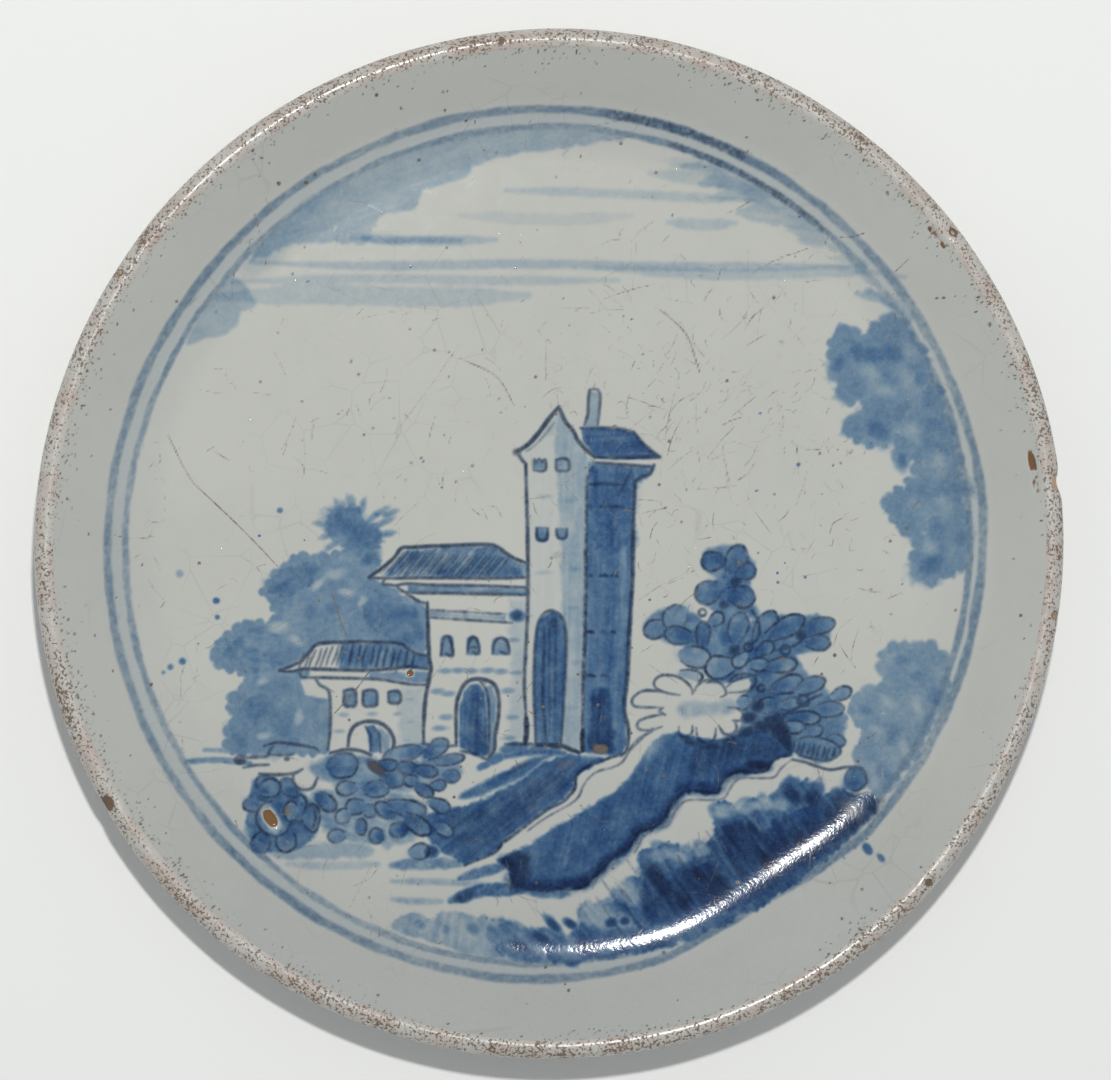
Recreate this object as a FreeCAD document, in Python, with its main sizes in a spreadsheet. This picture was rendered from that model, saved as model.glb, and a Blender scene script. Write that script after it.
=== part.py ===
"""Round souvenir plate of tin-glazed earthenware with a landscape painted in cobalt.

Millimetres. The plate lies on its foot ring. The origin is the centre of the foot's resting face, +Z is up
through the well, and the painted picture stands upright along +Y. The plate is a dish of even thickness: every
layer of it, clay, glaze and paint, is the face's own section moved down by a depth.
"""

import FreeCAD
import Part
import Sketcher
import math
import os

V = FreeCAD.Vector
DOC = FreeCAD.newDocument("SouvenirPlate")

DRIVING_SIZES = [
    ("rim_radius", 112.5, "outside of the lip"),
    ("floor_radius", 84.5, "flat part of the well"),
    ("floor_height", 9.5, "glazed face of the well above the table"),
    ("well_bend", 24.0, "radius of the bend from the floor to the wall"),
    ("wall_angle", 36.0, "slope of the wall, degrees"),
    ("plate_depth", 5.2, "thickness through clay and both glazes"),
    ("glaze_depth", 0.4, "thickness of the tin glaze"),
    ("paint_depth", 0.12, "thickness of the fired cobalt"),
    ("foot_radius", 60.0, "middle of the foot ring"),
    ("foot_width", 4.0, "width of the foot ring"),
    ("foot_chamfer", 0.6, "bevel along both edges of the foot"),
    ("foot_bare", 1.2, "height of bare clay at the foot"),
    ("outer_line_radius", 95.8, "middle of the outer ring line"),
    ("outer_line_width", 1.6, "brush width of the outer ring line"),
    ("inner_line_radius", 92.4, "middle of the inner ring line"),
    ("inner_line_width", 1.2, "brush width of the inner ring line"),
    ("drawing_line", 0.8, "width of the dark drawing lines"),
    ("nick_radius", 2.6, "nick in the rim"),
    ("nick_bite", 1.7, "how far the nick reaches into the rim"),
    ("chip_radius", 1.6, "chip in the glaze of the lip"),
    ("pin_radius", 1.5, "scar of a kiln pin under the wall"),
    ("pin_place", 104.0, "distance of the pin scars from the axis"),
]

LAYER_TOP = "0"
CLAY_TOP = "glaze_depth"
CLAY_BOTTOM = "plate_depth - glaze_depth"
LAYER_BOTTOM = "plate_depth"
PAINT_TOP = "-paint_depth"

NICK_ANGLE = 7.0
CHIPS = [(38.0, 0.9), (210.0, 1.0), (352.0, 0.7)]
PIN_COUNT = 3
PIN_FIRST_ANGLE = 70.0


def make_sheet():
    """The sheet of driving sizes, one alias a row, with its meaning beside it."""
    sheet = DOC.addObject("Spreadsheet::Sheet", "Sizes")
    for row, (alias, value, meaning) in enumerate(DRIVING_SIZES, start=1):
        sheet.set(f"A{row}", str(value))
        sheet.setAlias(f"A{row}", alias)
        sheet.set(f"B{row}", meaning)
    DOC.recompute()
    return sheet


SHEET = make_sheet()
ALIASES = [alias for alias, _, _ in DRIVING_SIZES]


def value_of(formula):
    """The number that a formula of aliases comes to."""
    result = SHEET.evalExpression(formula)
    return float(getattr(result, "Value", result))


def bound(formula):
    """The same formula as an object outside the sheet writes it."""
    words = formula
    for alias in sorted(ALIASES, key=len, reverse=True):
        words = words.replace(alias, f"Sizes.<{alias[::-1]}>")
    for alias in ALIASES:
        words = words.replace(f"Sizes.<{alias[::-1]}>", f"Sizes.{alias}")
    return words


# --- the section of the plate, as formulas of the driving sizes -------------------------------------------------

SIN = "sin(wall_angle * 1deg)"
COS = "cos(wall_angle * 1deg)"
TAN = "tan(wall_angle * 1deg)"
BEND_CENTRE_HEIGHT = "(floor_height + well_bend)"
LIP = "(plate_depth / 2)"
LIP_CENTRE_X = f"(rim_radius - {LIP})"
LIP_CENTRE_Z = (
    f"({BEND_CENTRE_HEIGHT} - (well_bend + {LIP}) * {COS}"
    f" + {TAN} * ({LIP_CENTRE_X} - floor_radius - (well_bend + {LIP}) * {SIN}))"
)


def floor_centre(depth):
    """On the axis, at a depth below the face."""
    return ("0", f"floor_height - ({depth})")


def floor_edge(depth):
    """Where the flat floor meets the bend."""
    return ("floor_radius", f"floor_height - ({depth})")


def wall_foot(depth):
    """Where the bend meets the straight wall."""
    reach = f"(well_bend + ({depth}))"
    return (f"floor_radius + {reach} * {SIN}", f"{BEND_CENTRE_HEIGHT} - {reach} * {COS}")


def wall_top(depth):
    """Where the straight wall meets the round lip, on the face side for a depth under half the plate."""
    reach = f"({LIP} - ({depth}))"
    return (f"{LIP_CENTRE_X} - {reach} * {SIN}", f"{LIP_CENTRE_Z} + {reach} * {COS}")


BEND_CENTRE = ("floor_radius", BEND_CENTRE_HEIGHT)
LIP_CENTRE = (LIP_CENTRE_X, LIP_CENTRE_Z)


class Line:
    """A straight run of a section, from one point to the next."""

    def __init__(self, start, end):
        self.ends = (start, end)

    def geometry(self):
        a, b = (V(value_of(x), value_of(y), 0) for x, y in self.ends)
        return Part.LineSegment(a, b), True

    def constrain(self, sketch, index):
        pass


class Arc:
    """A round run of a section about a centre, turning anticlockwise or clockwise."""

    def __init__(self, start, end, centre, radius, anticlockwise):
        self.ends = (start, end)
        self.centre = centre
        self.radius = radius
        self.anticlockwise = anticlockwise

    def geometry(self):
        middle = V(value_of(self.centre[0]), value_of(self.centre[1]), 0)
        angles = []
        for x, y in self.ends:
            angles.append(math.atan2(value_of(y) - middle.y, value_of(x) - middle.x))
        circle = Part.Circle(middle, V(0, 0, 1), value_of(self.radius))
        first, last = angles if self.anticlockwise else angles[::-1]
        return Part.ArcOfCircle(circle, first, last), self.anticlockwise

    def constrain(self, sketch, index):
        across = self.centre[0]
        number = sketch.addConstraint(Sketcher.Constraint("DistanceX", -1, 1, index, 3, value_of(across)))
        sketch.setExpression(f"Constraints[{number}]", bound(across))


def origin_feature(body, role):
    """One of a body's own origin planes or axes."""
    return next(feature for feature in body.Origin.OriginFeatures if feature.Role == role)


def pin_point(sketch, index, end, point):
    """Hold one end of a run at a point whose coordinates are formulas."""
    for kind, formula in zip(("DistanceX", "DistanceY"), point):
        value = value_of(formula)
        if abs(value) < 1e-9:
            axis = -2 if kind == "DistanceX" else -1
            sketch.addConstraint(Sketcher.Constraint("PointOnObject", index, end, axis))
            continue
        number = sketch.addConstraint(Sketcher.Constraint(kind, -1, 1, index, end, value))
        sketch.setExpression(f"Constraints[{number}]", bound(formula))


def section_sketch(body, name, runs):
    """A closed section on the body's XZ plane, every corner held by formulas of the sheet."""
    sketch = body.newObject("Sketcher::SketchObject", name)
    sketch.AttachmentSupport = (origin_feature(body, "XZ_Plane"), [""])
    sketch.MapMode = "FlatFace"
    ends = []
    for run in runs:
        shape, forwards = run.geometry()
        index = sketch.addGeometry(shape)
        ends.append((index, 1 if forwards else 2, 2 if forwards else 1))
        run.constrain(sketch, index)
    for number, run in enumerate(runs):
        index, start, _ = ends[number]
        before, _, last = ends[number - 1]
        sketch.addConstraint(Sketcher.Constraint("Coincident", before, last, index, start))
        pin_point(sketch, index, start, run.ends[0])
    return sketch


def turned_body(label, runs):
    """A body made by turning a section about the plate's axis."""
    body = DOC.addObject("PartDesign::Body", label)
    body.Label = label
    sketch = section_sketch(body, label + "_section", runs)
    turn = body.newObject("PartDesign::Revolution", label + "_turned")
    turn.Profile = sketch
    turn.ReferenceAxis = (origin_feature(body, "Z_Axis"), [""])
    turn.Angle = 360
    DOC.recompute()
    return body


def polygon(*corners):
    """Straight runs from corner to corner, closed."""
    return [Line(a, b) for a, b in zip(corners, corners[1:] + corners[:1])]


def bend(depth, outwards=True):
    """The bend between floor and wall at a depth."""
    radius = f"well_bend + ({depth})"
    if outwards:
        return Arc(floor_edge(depth), wall_foot(depth), BEND_CENTRE, radius, True)
    return Arc(wall_foot(depth), floor_edge(depth), BEND_CENTRE, radius, False)


# --- potting ----------------------------------------------------------------------------------------------------


def bite(body, label, radius, distance, angle, height):
    """Cut a round hollow out of a body, its centre at a distance and an angle from the plate's axis."""
    ball = body.newObject("PartDesign::SubtractiveSphere", label)
    ball.setExpression("Radius", bound(radius))
    turned = math.radians(angle)
    ball.AttachmentSupport = (origin_feature(body, "XY_Plane"), [""])
    ball.MapMode = "FlatFace"
    ball.setExpression("AttachmentOffset.Base.x", f"({bound(distance)}) * {math.cos(turned):.6f}")
    ball.setExpression("AttachmentOffset.Base.y", f"({bound(distance)}) * {math.sin(turned):.6f}")
    ball.setExpression("AttachmentOffset.Base.z", bound(height))
    DOC.recompute()
    return ball


def rim_nick(body):
    """The nick knocked out of the rim, through the glaze and a little of the clay."""
    bite(body, body.Label + "_nick", "nick_radius", "rim_radius - nick_bite + nick_radius", NICK_ANGLE, LIP_CENTRE_Z)


def make_clay_body():
    """The dish: face, wall and underside, one even thickness of clay."""
    tip = f"{LIP} - glaze_depth"
    runs = [
        Line(floor_centre(CLAY_BOTTOM), floor_edge(CLAY_BOTTOM)),
        bend(CLAY_BOTTOM),
        Line(wall_foot(CLAY_BOTTOM), wall_top(CLAY_BOTTOM)),
        Arc(wall_top(CLAY_BOTTOM), wall_top(CLAY_TOP), LIP_CENTRE, tip, True),
        Line(wall_top(CLAY_TOP), wall_foot(CLAY_TOP)),
        bend(CLAY_TOP, outwards=False),
        Line(floor_edge(CLAY_TOP), floor_centre(CLAY_TOP)),
        Line(floor_centre(CLAY_TOP), floor_centre(CLAY_BOTTOM)),
    ]
    body = turned_body("clay_body", runs)
    rim_nick(body)
    return body


def foot_side(side, height, inset="0"):
    """A point on the outside (side +) or inside (side -) of the foot ring."""
    return (f"foot_radius {side} (foot_width / 2 - ({inset}))", height)


def make_foot_ring():
    """The foot, a ring of clay under the dish with both its edges bevelled."""
    top = "floor_height - plate_depth + glaze_depth"
    return turned_body(
        "foot_ring",
        polygon(
            foot_side("+", "0", "foot_chamfer"),
            foot_side("+", "foot_chamfer"),
            foot_side("+", top),
            foot_side("-", top),
            foot_side("-", "foot_chamfer"),
            foot_side("-", "0", "foot_chamfer"),
        ),
    )


def make_face_glaze():
    """The glaze of the well and the wall, from the axis to the start of the lip."""
    runs = [
        Line(floor_centre(CLAY_TOP), floor_edge(CLAY_TOP)),
        bend(CLAY_TOP),
        Line(wall_foot(CLAY_TOP), wall_top(CLAY_TOP)),
        Line(wall_top(CLAY_TOP), wall_top(LAYER_TOP)),
        Line(wall_top(LAYER_TOP), wall_foot(LAYER_TOP)),
        bend(LAYER_TOP, outwards=False),
        Line(floor_edge(LAYER_TOP), floor_centre(LAYER_TOP)),
        Line(floor_centre(LAYER_TOP), floor_centre(CLAY_TOP)),
    ]
    return turned_body("face_glaze", runs)


def make_lip_glaze():
    """The glaze round the lip, broken by the nick and by small chips."""
    inner = f"{LIP} - glaze_depth"
    runs = [
        Arc(wall_top(LAYER_BOTTOM), wall_top(LAYER_TOP), LIP_CENTRE, LIP, True),
        Line(wall_top(LAYER_TOP), wall_top(CLAY_TOP)),
        Arc(wall_top(CLAY_TOP), wall_top(CLAY_BOTTOM), LIP_CENTRE, inner, False),
        Line(wall_top(CLAY_BOTTOM), wall_top(LAYER_BOTTOM)),
    ]
    body = turned_body("lip_glaze", runs)
    rim_nick(body)
    for number, (angle, share) in enumerate(CHIPS, start=1):
        distance = f"rim_radius + chip_radius * {share} - glaze_depth"
        bite(body, f"lip_chip_{number}", "chip_radius", distance, angle, LIP_CENTRE_Z)
    return body


def make_back_glaze():
    """The glaze under the wall and down the outside of the foot, with the scars of the kiln pins."""
    beside_foot = foot_side("+", "floor_height - plate_depth", "-glaze_depth")
    runs = [
        Line(foot_side("+", "foot_bare"), foot_side("+", "foot_bare", "-glaze_depth")),
        Line(foot_side("+", "foot_bare", "-glaze_depth"), beside_foot),
        Line(beside_foot, floor_edge(LAYER_BOTTOM)),
        bend(LAYER_BOTTOM),
        Line(wall_foot(LAYER_BOTTOM), wall_top(LAYER_BOTTOM)),
        Line(wall_top(LAYER_BOTTOM), wall_top(CLAY_BOTTOM)),
        Line(wall_top(CLAY_BOTTOM), wall_foot(CLAY_BOTTOM)),
        bend(CLAY_BOTTOM, outwards=False),
        Line(floor_edge(CLAY_BOTTOM), foot_side("+", "floor_height - plate_depth + glaze_depth")),
        Line(foot_side("+", "floor_height - plate_depth + glaze_depth"), foot_side("+", "foot_bare")),
    ]
    body = turned_body("back_glaze", runs)
    height = f"({wall_foot(LAYER_BOTTOM)[1]}) + {TAN} * (pin_place - ({wall_foot(LAYER_BOTTOM)[0]}))"
    for number in range(PIN_COUNT):
        angle = PIN_FIRST_ANGLE + number * 360 / PIN_COUNT
        bite(body, f"pin_scar_{number + 1}", "pin_radius", "pin_place", angle, height)
    return body


def make_base_glaze():
    """The glaze inside the foot ring, a disc with a short upstand against the foot."""
    under = "floor_height - plate_depth"
    over = "floor_height - plate_depth + glaze_depth"
    return turned_body(
        "base_glaze",
        polygon(
            ("0", under),
            foot_side("-", under, "-glaze_depth"),
            foot_side("-", "foot_bare", "-glaze_depth"),
            foot_side("-", "foot_bare"),
            foot_side("-", over),
            ("0", over),
        ),
    )


# --- painting ---------------------------------------------------------------------------------------------------
# Outlines are points of the painted picture, x to the right and y up, from the middle of the well.

SKY_LEFT = [(-67, 62), (-58, 65), (-45, 67), (-40, 69), (-38, 73), (-30, 75), (-27, 79), (-18, 81), (-15, 84),
            (-4, 86), (8, 87), (20, 89), (8, 91), (-10, 91), (-30, 86), (-48, 78), (-60, 69)]
SKY_RIGHT = [(27, 86), (36, 78), (47, 70), (57, 63), (69, 55.5), (75, 52.6), (72.4, 55.6), (65.6, 63), (55.6, 71.4),
             (43.6, 79.2), (34.8, 83.6)]
FAR_TREE_UPPER = [(63, 47), (66, 49), (69, 48), (72, 50), (75, 49), (81, 40), (85.6, 28), (89.4, 14), (90, 2),
                  (88, -4), (84, -7), (80, -4), (83, 3), (78, 2), (74, 7), (77, 13), (82, 16), (77, 17), (77, 23),
                  (71, 21), (65, 25), (72, 31), (64, 33), (65, 38), (61, 40)]
FAR_TREE_LOWER = [(74, -22), (79, -21), (84, -22), (85.4, -29), (82, -37), (77, -45), (72.6, -49.5), (69, -45),
                  (73, -42), (67, -38), (68, -34), (74, -31), (75, -27)]
LEFT_TREE_CROWN = [(-52, 4), (-49, 9), (-43, 9), (-40, 7), (-36, 6), (-32, 8), (-35, 2), (-39, -1), (-44, -2),
                   (-50, 1)]
LEFT_TREE = [(-64, -11), (-59, -6), (-55, -2), (-50, -4), (-44, -3.2), (-43, -5.8), (-40.4, -9.6), (-35, -13.4),
             (-30.8, -16), (-29.4, -22), (-33, -20.5), (-52, -20.5), (-56, -24.5), (-60.5, -27), (-57, -29.5),
             (-52.5, -31.5), (-50.5, -35), (-50.5, -42.5), (-60, -42.5), (-66, -45.5), (-73, -44), (-71, -40),
             (-66, -38.5), (-72, -35), (-68, -30), (-73, -27), (-74, -22), (-68, -18), (-64, -17), (-60, -19),
             (-58, -13)]
TOWER_ROOF = [(8.6, 20.6), (10, 19.7), (14, 19.3), (18.3, 19.1), (23.2, 19.6), (20.5, 22.6), (18, 24.6), (12, 25.4),
              (7, 25.3), (6.4, 23.4)]
TOWER_SIDE = [(9.6, 16.6), (14, 16.8), (17.6, 13.6), (17.4, -10), (16.4, -28), (16.2, -45), (9.2, -45.2),
              (8.2, -30), (8.6, 0)]
TOWER_FRONT_SHADE = [(2.6, 27), (4.4, 24.8), (5.4, 22.8), (7, 20.8), (7.6, 15), (7, 0), (6.7, -20), (6.3, -44),
                     (4.5, -44), (4.6, -22), (3.8, -16.6), (1.6, -13.6), (1.6, 10)]
TOWER_DOOR = [(-2.8, -43.2), (-3.1, -30), (-2.6, -20), (-1.6, -17), (0.3, -15.6), (1.9, -16.8), (2.7, -20),
              (2.6, -30), (2.2, -39), (1.9, -43.4)]
HOUSE_ROOF = [(-36, -6.5), (-33.2, -3.4), (-31.8, -1.5), (-22, -1.1), (-13, -0.9), (-10.2, -2.6), (-7, -4.2),
              (-6.2, -6.6), (-20, -6.6)]
HOUSE_BAND = [(-32.4, -9.6), (-26, -9.5), (-18, -9.6), (-6.2, -10.1), (-6.2, -10.6), (-18, -10.3), (-31, -10.1)]
HOUSE_DOOR = [(-20, -43.6), (-20, -36), (-19.4, -33.4), (-18.2, -31.4), (-16.8, -30.6), (-15.5, -31.2),
              (-14.9, -34), (-14.6, -40), (-14.6, -45), (-16.6, -46.2)]
GATE_ROOF = [(-49.4, -26.6), (-50, -22.4), (-44, -22.2), (-39.6, -22.2), (-33.6, -22.6), (-31, -24), (-28.2, -25.2),
             (-28.6, -26.4), (-34, -26.4), (-39.6, -26.8)]
GATE_ARCH = [(-41.6, -44.6), (-42.2, -41.2), (-40.8, -39.9), (-38, -39.9), (-36, -41.8), (-35.6, -44.2),
             (-36.4, -45.6), (-39, -46)]
SHRUB = [(54, -45.4), (58, -47.5), (62, -47), (64.5, -44), (63, -40), (65, -37), (61, -35), (60, -31.5), (56, -31),
         (54, -28), (52.5, -25), (54, -22), (60, -23), (62, -18), (56, -19), (53, -16), (48, -15), (45, -19),
         (43, -17), (44, -11), (44.5, -5), (41, -1), (36, -1.5), (34, -4), (37, -7), (33.5, -10), (37, -14),
         (33, -17), (27, -14), (21, -18), (25, -21), (31, -21), (29.5, -24), (36, -28), (33, -33), (40, -37),
         (49, -38)]
BUSH = [(-65, -50), (-64, -55), (-65, -60), (-64, -65), (-59, -67), (-56, -63), (-52, -63.5), (-51, -59),
        (-47.5, -58.5), (-47, -55), (-44.5, -56), (-44, -60), (-42, -64.5), (-38.5, -66.5), (-33, -65), (-29, -63),
        (-28.5, -58), (-34, -56.5), (-30, -55), (-26.5, -55), (-23.5, -52.5), (-20.5, -51.5), (-22, -48.2),
        (-28, -48), (-35, -47.5), (-40, -47), (-46.5, -46.5), (-47.5, -51), (-54, -54), (-57, -51)]
NEAR_BANK = [(-27, -61), (-15, -57.6), (-6, -53), (-1, -50), (-3, -46), (3, -45.6), (8, -47), (5.4, -50),
             (4, -53.4), (1, -57), (-5, -60), (-9, -64), (-12.6, -67.4), (-18, -69.2), (-24, -68)]
MIDDLE_BANK = [(-11.4, -69.3), (-5, -67), (0, -63.8), (8, -60), (15, -54), (20, -47.5), (24, -43.5), (33, -45),
               (42, -42), (50, -42), (50.6, -46), (47, -49), (40, -49.5), (36.6, -53.4), (30, -54), (25, -59),
               (21, -62), (16.5, -67.4), (10, -72), (5, -75.2), (-4, -75.2), (-8, -74.8), (-9, -71.6)]
DARK_FOLIAGE = [(50, -54), (56, -51.5), (65, -52), (69.2, -51.6), (71.6, -54), (67.4, -60), (62, -65.4), (54.6, -72),
                (45, -78), (35, -83), (24, -87), (10, -90), (-4, -90.5), (-18, -88), (-27, -83.5), (-16, -82),
                (-8, -82.5), (2, -84), (6, -79), (13, -78.5), (17, -75), (21, -69), (27, -66), (34, -67),
                (37, -61), (45, -57.5), (51, -58)]

SKY_STREAKS = [
    (1.4, [(-37, 67.2), (-28, 67), (-15, 67.4)]),
    (1.2, [(-64, 60.9), (-40, 61.2), (-10, 61.8), (30, 61.6), (52, 60.8)]),
    (1.6, [(-68, 57.8), (-40, 58), (-20, 58.6), (8, 59.2)]),
    (2.4, [(-70, 53.6), (-50, 54.2), (-30, 55), (-8, 56)]),
    (1.4, [(-8, 78.2), (10, 78.2), (28, 77)]),
    (1.2, [(26, 71), (34, 70.6), (41, 69.6)]),
]
GROUND_STROKES = [
    (2.0, [(-77, -47.8), (-72, -47.9), (-67, -47.6)]),
    (2.2, [(-23, -55.6), (-16, -52.6), (-9, -50.2)]),
    (1.6, [(-12, -48.2), (-8, -45.4), (-5, -46)]),
    (2.6, [(-21, -78), (-15, -76.2), (-10, -75.8)]),
    (1.8, [(-35, -70.4), (-27, -71.4), (-20, -73)]),
]
TOWER_LINES = [
    (1.0, [(-5.5, 18.2), (-7.5, 20.5), (-5, 22), (-2.3, 25), (0, 28.2), (1.8, 30.3)]),
    (1.0, [(1.8, 30.3), (3.2, 27.4), (5, 25), (6, 23), (8, 20.8), (9.8, 19.2)]),
    (1.0, [(-5.5, 18.2), (-5.2, 3), (-5.1, -12), (-5.7, -30), (-5.4, -43.5)]),
    (1.1, [(9.8, 18), (8.2, 15.2), (7.8, 0), (7.5, -22), (7.1, -45.2)]),
    (1.2, [(18.4, 14), (18.2, -3), (17.4, -20), (16.9, -38), (16.6, -45)]),
    (0.8, [(9.8, 18.4), (15, 18.2), (24, 18.8)]),
    (0.7, [(18.4, 14), (20, 15), (22.6, 16)]),
    (0.7, [(-3.4, -43.6), (-3.75, -30), (-3.2, -19), (-2, -16), (0.4, -14.6), (2.4, -16), (3.4, -19), (3.3, -30),
           (2.5, -43.6)]),
    (0.7, [(8.5, 33.9), (8.2, 29), (7.6, 26.4)]),
    (0.7, [(11, 32.8), (10.5, 29), (10.3, 26.2)]),
    (0.7, [(-3.7, 19), (-3.7, 16.4), (-0.7, 16.4), (-0.7, 19)]),
    (0.7, [(1.4, 19), (1.4, 16.4), (4.3, 16.4), (4.3, 19)]),
    (0.7, [(-3, 3.8), (-3, 0.5), (-0.4, 0.5), (-0.4, 3.8)]),
    (0.7, [(1.4, 3.8), (1.4, 1.2), (3.8, 1.2), (3.8, 3.8)]),
]
HOUSE_LINES = [
    (0.8, [(-40, -7.3), (-37.2, -5.2), (-34.4, -2.8), (-32.6, -0.6), (-22, -0.2), (-12, -0.2), (-9, -2.4),
           (-6.4, -3.8)]),
    (0.8, [(-37, -7.4), (-28, -7.6), (-16, -7.6), (-6.4, -7.6)]),
    (0.7, [(-35.6, -8.8), (-26, -8.8), (-6.4, -9.2)]),
    (0.7, [(-33.2, -9.8), (-31, -10.9), (-22, -11.1), (-6.4, -11.4)]),
    (1.0, [(-27.4, -13), (-27, -22), (-27.4, -33), (-28, -43.4)]),
    (0.7, [(-26.2, -14.5), (-16, -15), (-8, -15.4)]),
    (0.7, [(-20.8, -44.2), (-20.8, -36), (-20, -33), (-18.6, -30.6), (-16.6, -29.8), (-14.8, -31), (-14, -34.6),
           (-13.8, -46)]),
    (0.7, [(-24.2, -24), (-24.2, -20.6), (-21.8, -20.6), (-21.8, -24), (-23.4, -24)]),
    (0.7, [(-18.3, -23.8), (-17.6, -20.8), (-16.2, -20.8), (-15.9, -23.8)]),
]
GATE_LINES = [
    (0.8, [(-59, -27.6), (-54.8, -25.6), (-51, -21.7), (-44, -21.4), (-33.2, -21.8), (-30, -23.8), (-28.5, -24.4)]),
    (0.8, [(-54.8, -27.4), (-40, -27.7), (-28.6, -27.4)]),
    (0.7, [(-54.6, -29), (-40, -29.5), (-28.8, -30.7)]),
    (1.0, [(-51.6, -29.9), (-49, -31.8), (-48.6, -40), (-48.9, -45)]),
    (1.0, [(-44.4, -44.6), (-43.9, -41.4), (-42.2, -39.4), (-39.6, -38.8), (-36.8, -39.6), (-34.9, -42),
           (-34.6, -44.6)]),
    (0.7, [(-45.2, -32.4), (-45.2, -35), (-43.2, -35), (-43.2, -32.4)]),
    (0.7, [(-41, -32.6), (-40, -35), (-38.6, -32.6)]),
    (0.7, [(-35.4, -32.6), (-35.4, -34.6), (-33.4, -34.6), (-33.4, -32.6)]),
]
BANK_LINES = [
    (0.6, [(-18.8, -70.6), (-12.6, -68.6), (-9.4, -65.4), (-3, -60.8), (2.8, -57.2), (5.4, -53.6), (7, -50.4),
           (10, -48.6), (15, -46.4)]),
    (0.6, [(6.4, -75.6), (11.4, -71.8), (17.4, -67.6), (20.6, -64.2), (26, -61)]),
    (0.6, [(38, -54.2), (41, -51.4), (49, -50.6), (53, -48), (58, -48.8), (64, -49.2)]),
]
PAINT_SPOTS = [(-73.5, -12.3, 0.6), (-73.2, -15.8, 0.4), (-80.8, -25.5, 0.6), (-59.5, 7.5, 0.5), (-57.8, -47.2, 0.5)]

PAINT_REACH = 98.0


def place_on_floor(thing):
    """Lift a flat drawing to the face of the well."""
    thing.setExpression("Placement.Base.z", bound("floor_height"))


def raise_prism(drawing, label, height):
    """A prism standing on a flat drawing, as high as a formula says."""
    prism = DOC.addObject("Part::Extrusion", label)
    prism.Base = drawing
    prism.DirMode = "Custom"
    prism.Dir = V(0, 0, 1)
    prism.Solid = True
    prism.setExpression("LengthFwd", bound(height))
    return prism


def join(label, pieces):
    """One object out of several, fused where they touch."""
    if len(pieces) == 1:
        pieces[0].Label = label
        return pieces[0]
    whole = DOC.addObject("Part::MultiFuse", label)
    whole.Shapes = pieces
    whole.Label = label
    return whole


def cut_away(label, base, tool):
    """What is left of a base where a tool doesn't reach."""
    rest = DOC.addObject("Part::Cut", label)
    rest.Base = base
    rest.Tool = tool
    rest.Label = label
    return rest


def blob_drawing(label, points):
    """A brushed patch: one smooth closed curve through its points."""
    sketch = DOC.addObject("Sketcher::SketchObject", label + "_drawing")
    corners = [V(x, y, 0) for x, y in points]
    steps = [math.sqrt(start.distanceToPoint(end)) for start, end in zip(corners, corners[1:] + corners[:1])]
    along = [sum(steps[:count]) for count in range(len(steps) + 1)]
    curve = Part.BSplineCurve()
    curve.interpolate(Points=corners, PeriodicFlag=True, Parameters=along)
    sketch.addGeometry(curve)
    place_on_floor(sketch)
    return sketch


def panel_drawing(label, points):
    """A filled panel with straight edges."""
    sketch = DOC.addObject("Sketcher::SketchObject", label + "_drawing")
    corners = [V(x, y, 0) for x, y in points]
    for start, end in zip(corners, corners[1:] + corners[:1]):
        sketch.addGeometry(Part.LineSegment(start, end))
    count = len(corners)
    for index in range(count):
        sketch.addConstraint(Sketcher.Constraint("Coincident", index, 2, (index + 1) % count, 1))
    place_on_floor(sketch)
    return sketch


def stroke_drawing(label, width, points):
    """One stroke of the brush, round at both ends and half a width out from its route on each side."""
    route = DOC.addObject("Sketcher::SketchObject", label + "_route")
    ends = [V(x, y, 0) for x, y in points]
    for start, end in zip(ends, ends[1:]):
        route.addGeometry(Part.LineSegment(start, end))
    for index in range(len(ends) - 2):
        route.addConstraint(Sketcher.Constraint("Coincident", index, 2, index + 1, 1))
    place_on_floor(route)
    stroke = DOC.addObject("Part::Offset2D", label)
    stroke.Source = route
    stroke.Mode = "Pipe"
    stroke.Join = "Arc"
    stroke.setExpression("Value", f"Sizes.drawing_line * {width} / 2")
    return stroke


def make_paint_skin():
    """The film that cobalt makes on the face, out to a little past the ring lines."""
    runs = [
        Line(floor_centre(LAYER_TOP), floor_edge(LAYER_TOP)),
        bend(LAYER_TOP),
        Line(wall_foot(LAYER_TOP), wall_foot(PAINT_TOP)),
        bend(PAINT_TOP, outwards=False),
        Line(floor_edge(PAINT_TOP), floor_centre(PAINT_TOP)),
        Line(floor_centre(PAINT_TOP), floor_centre(LAYER_TOP)),
    ]
    return turned_body("paint_skin", runs)


def on_the_bend(label, skin, prism):
    """The part of the paint film that a prism stands over."""
    film = DOC.addObject("Part::Common", label)
    film.Base = skin
    film.Tool = prism
    film.Label = label
    return film


def make_ring_line(label, skin):
    """A ring line, turned on the wheel on the bend of the well."""
    radius = label.replace("_ring_line", "_line_radius")
    width = label.replace("_ring_line", "_line_width")
    cylinders = []
    for side, sign in (("outside", "+"), ("inside", "-")):
        cylinder = DOC.addObject("Part::Cylinder", f"{label}_{side}")
        cylinder.setExpression("Radius", bound(f"{radius} {sign} {width} / 2"))
        cylinder.setExpression("Height", bound("well_bend + floor_height"))
        cylinders.append(cylinder)
    tube = cut_away(label + "_tube", cylinders[0], cylinders[1])
    return on_the_bend(label, skin, tube)


def make_wash(label, drawing):
    """A patch of wash on the flat floor."""
    prism = raise_prism(drawing, label, "paint_depth")
    prism.Label = label
    return prism


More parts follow.
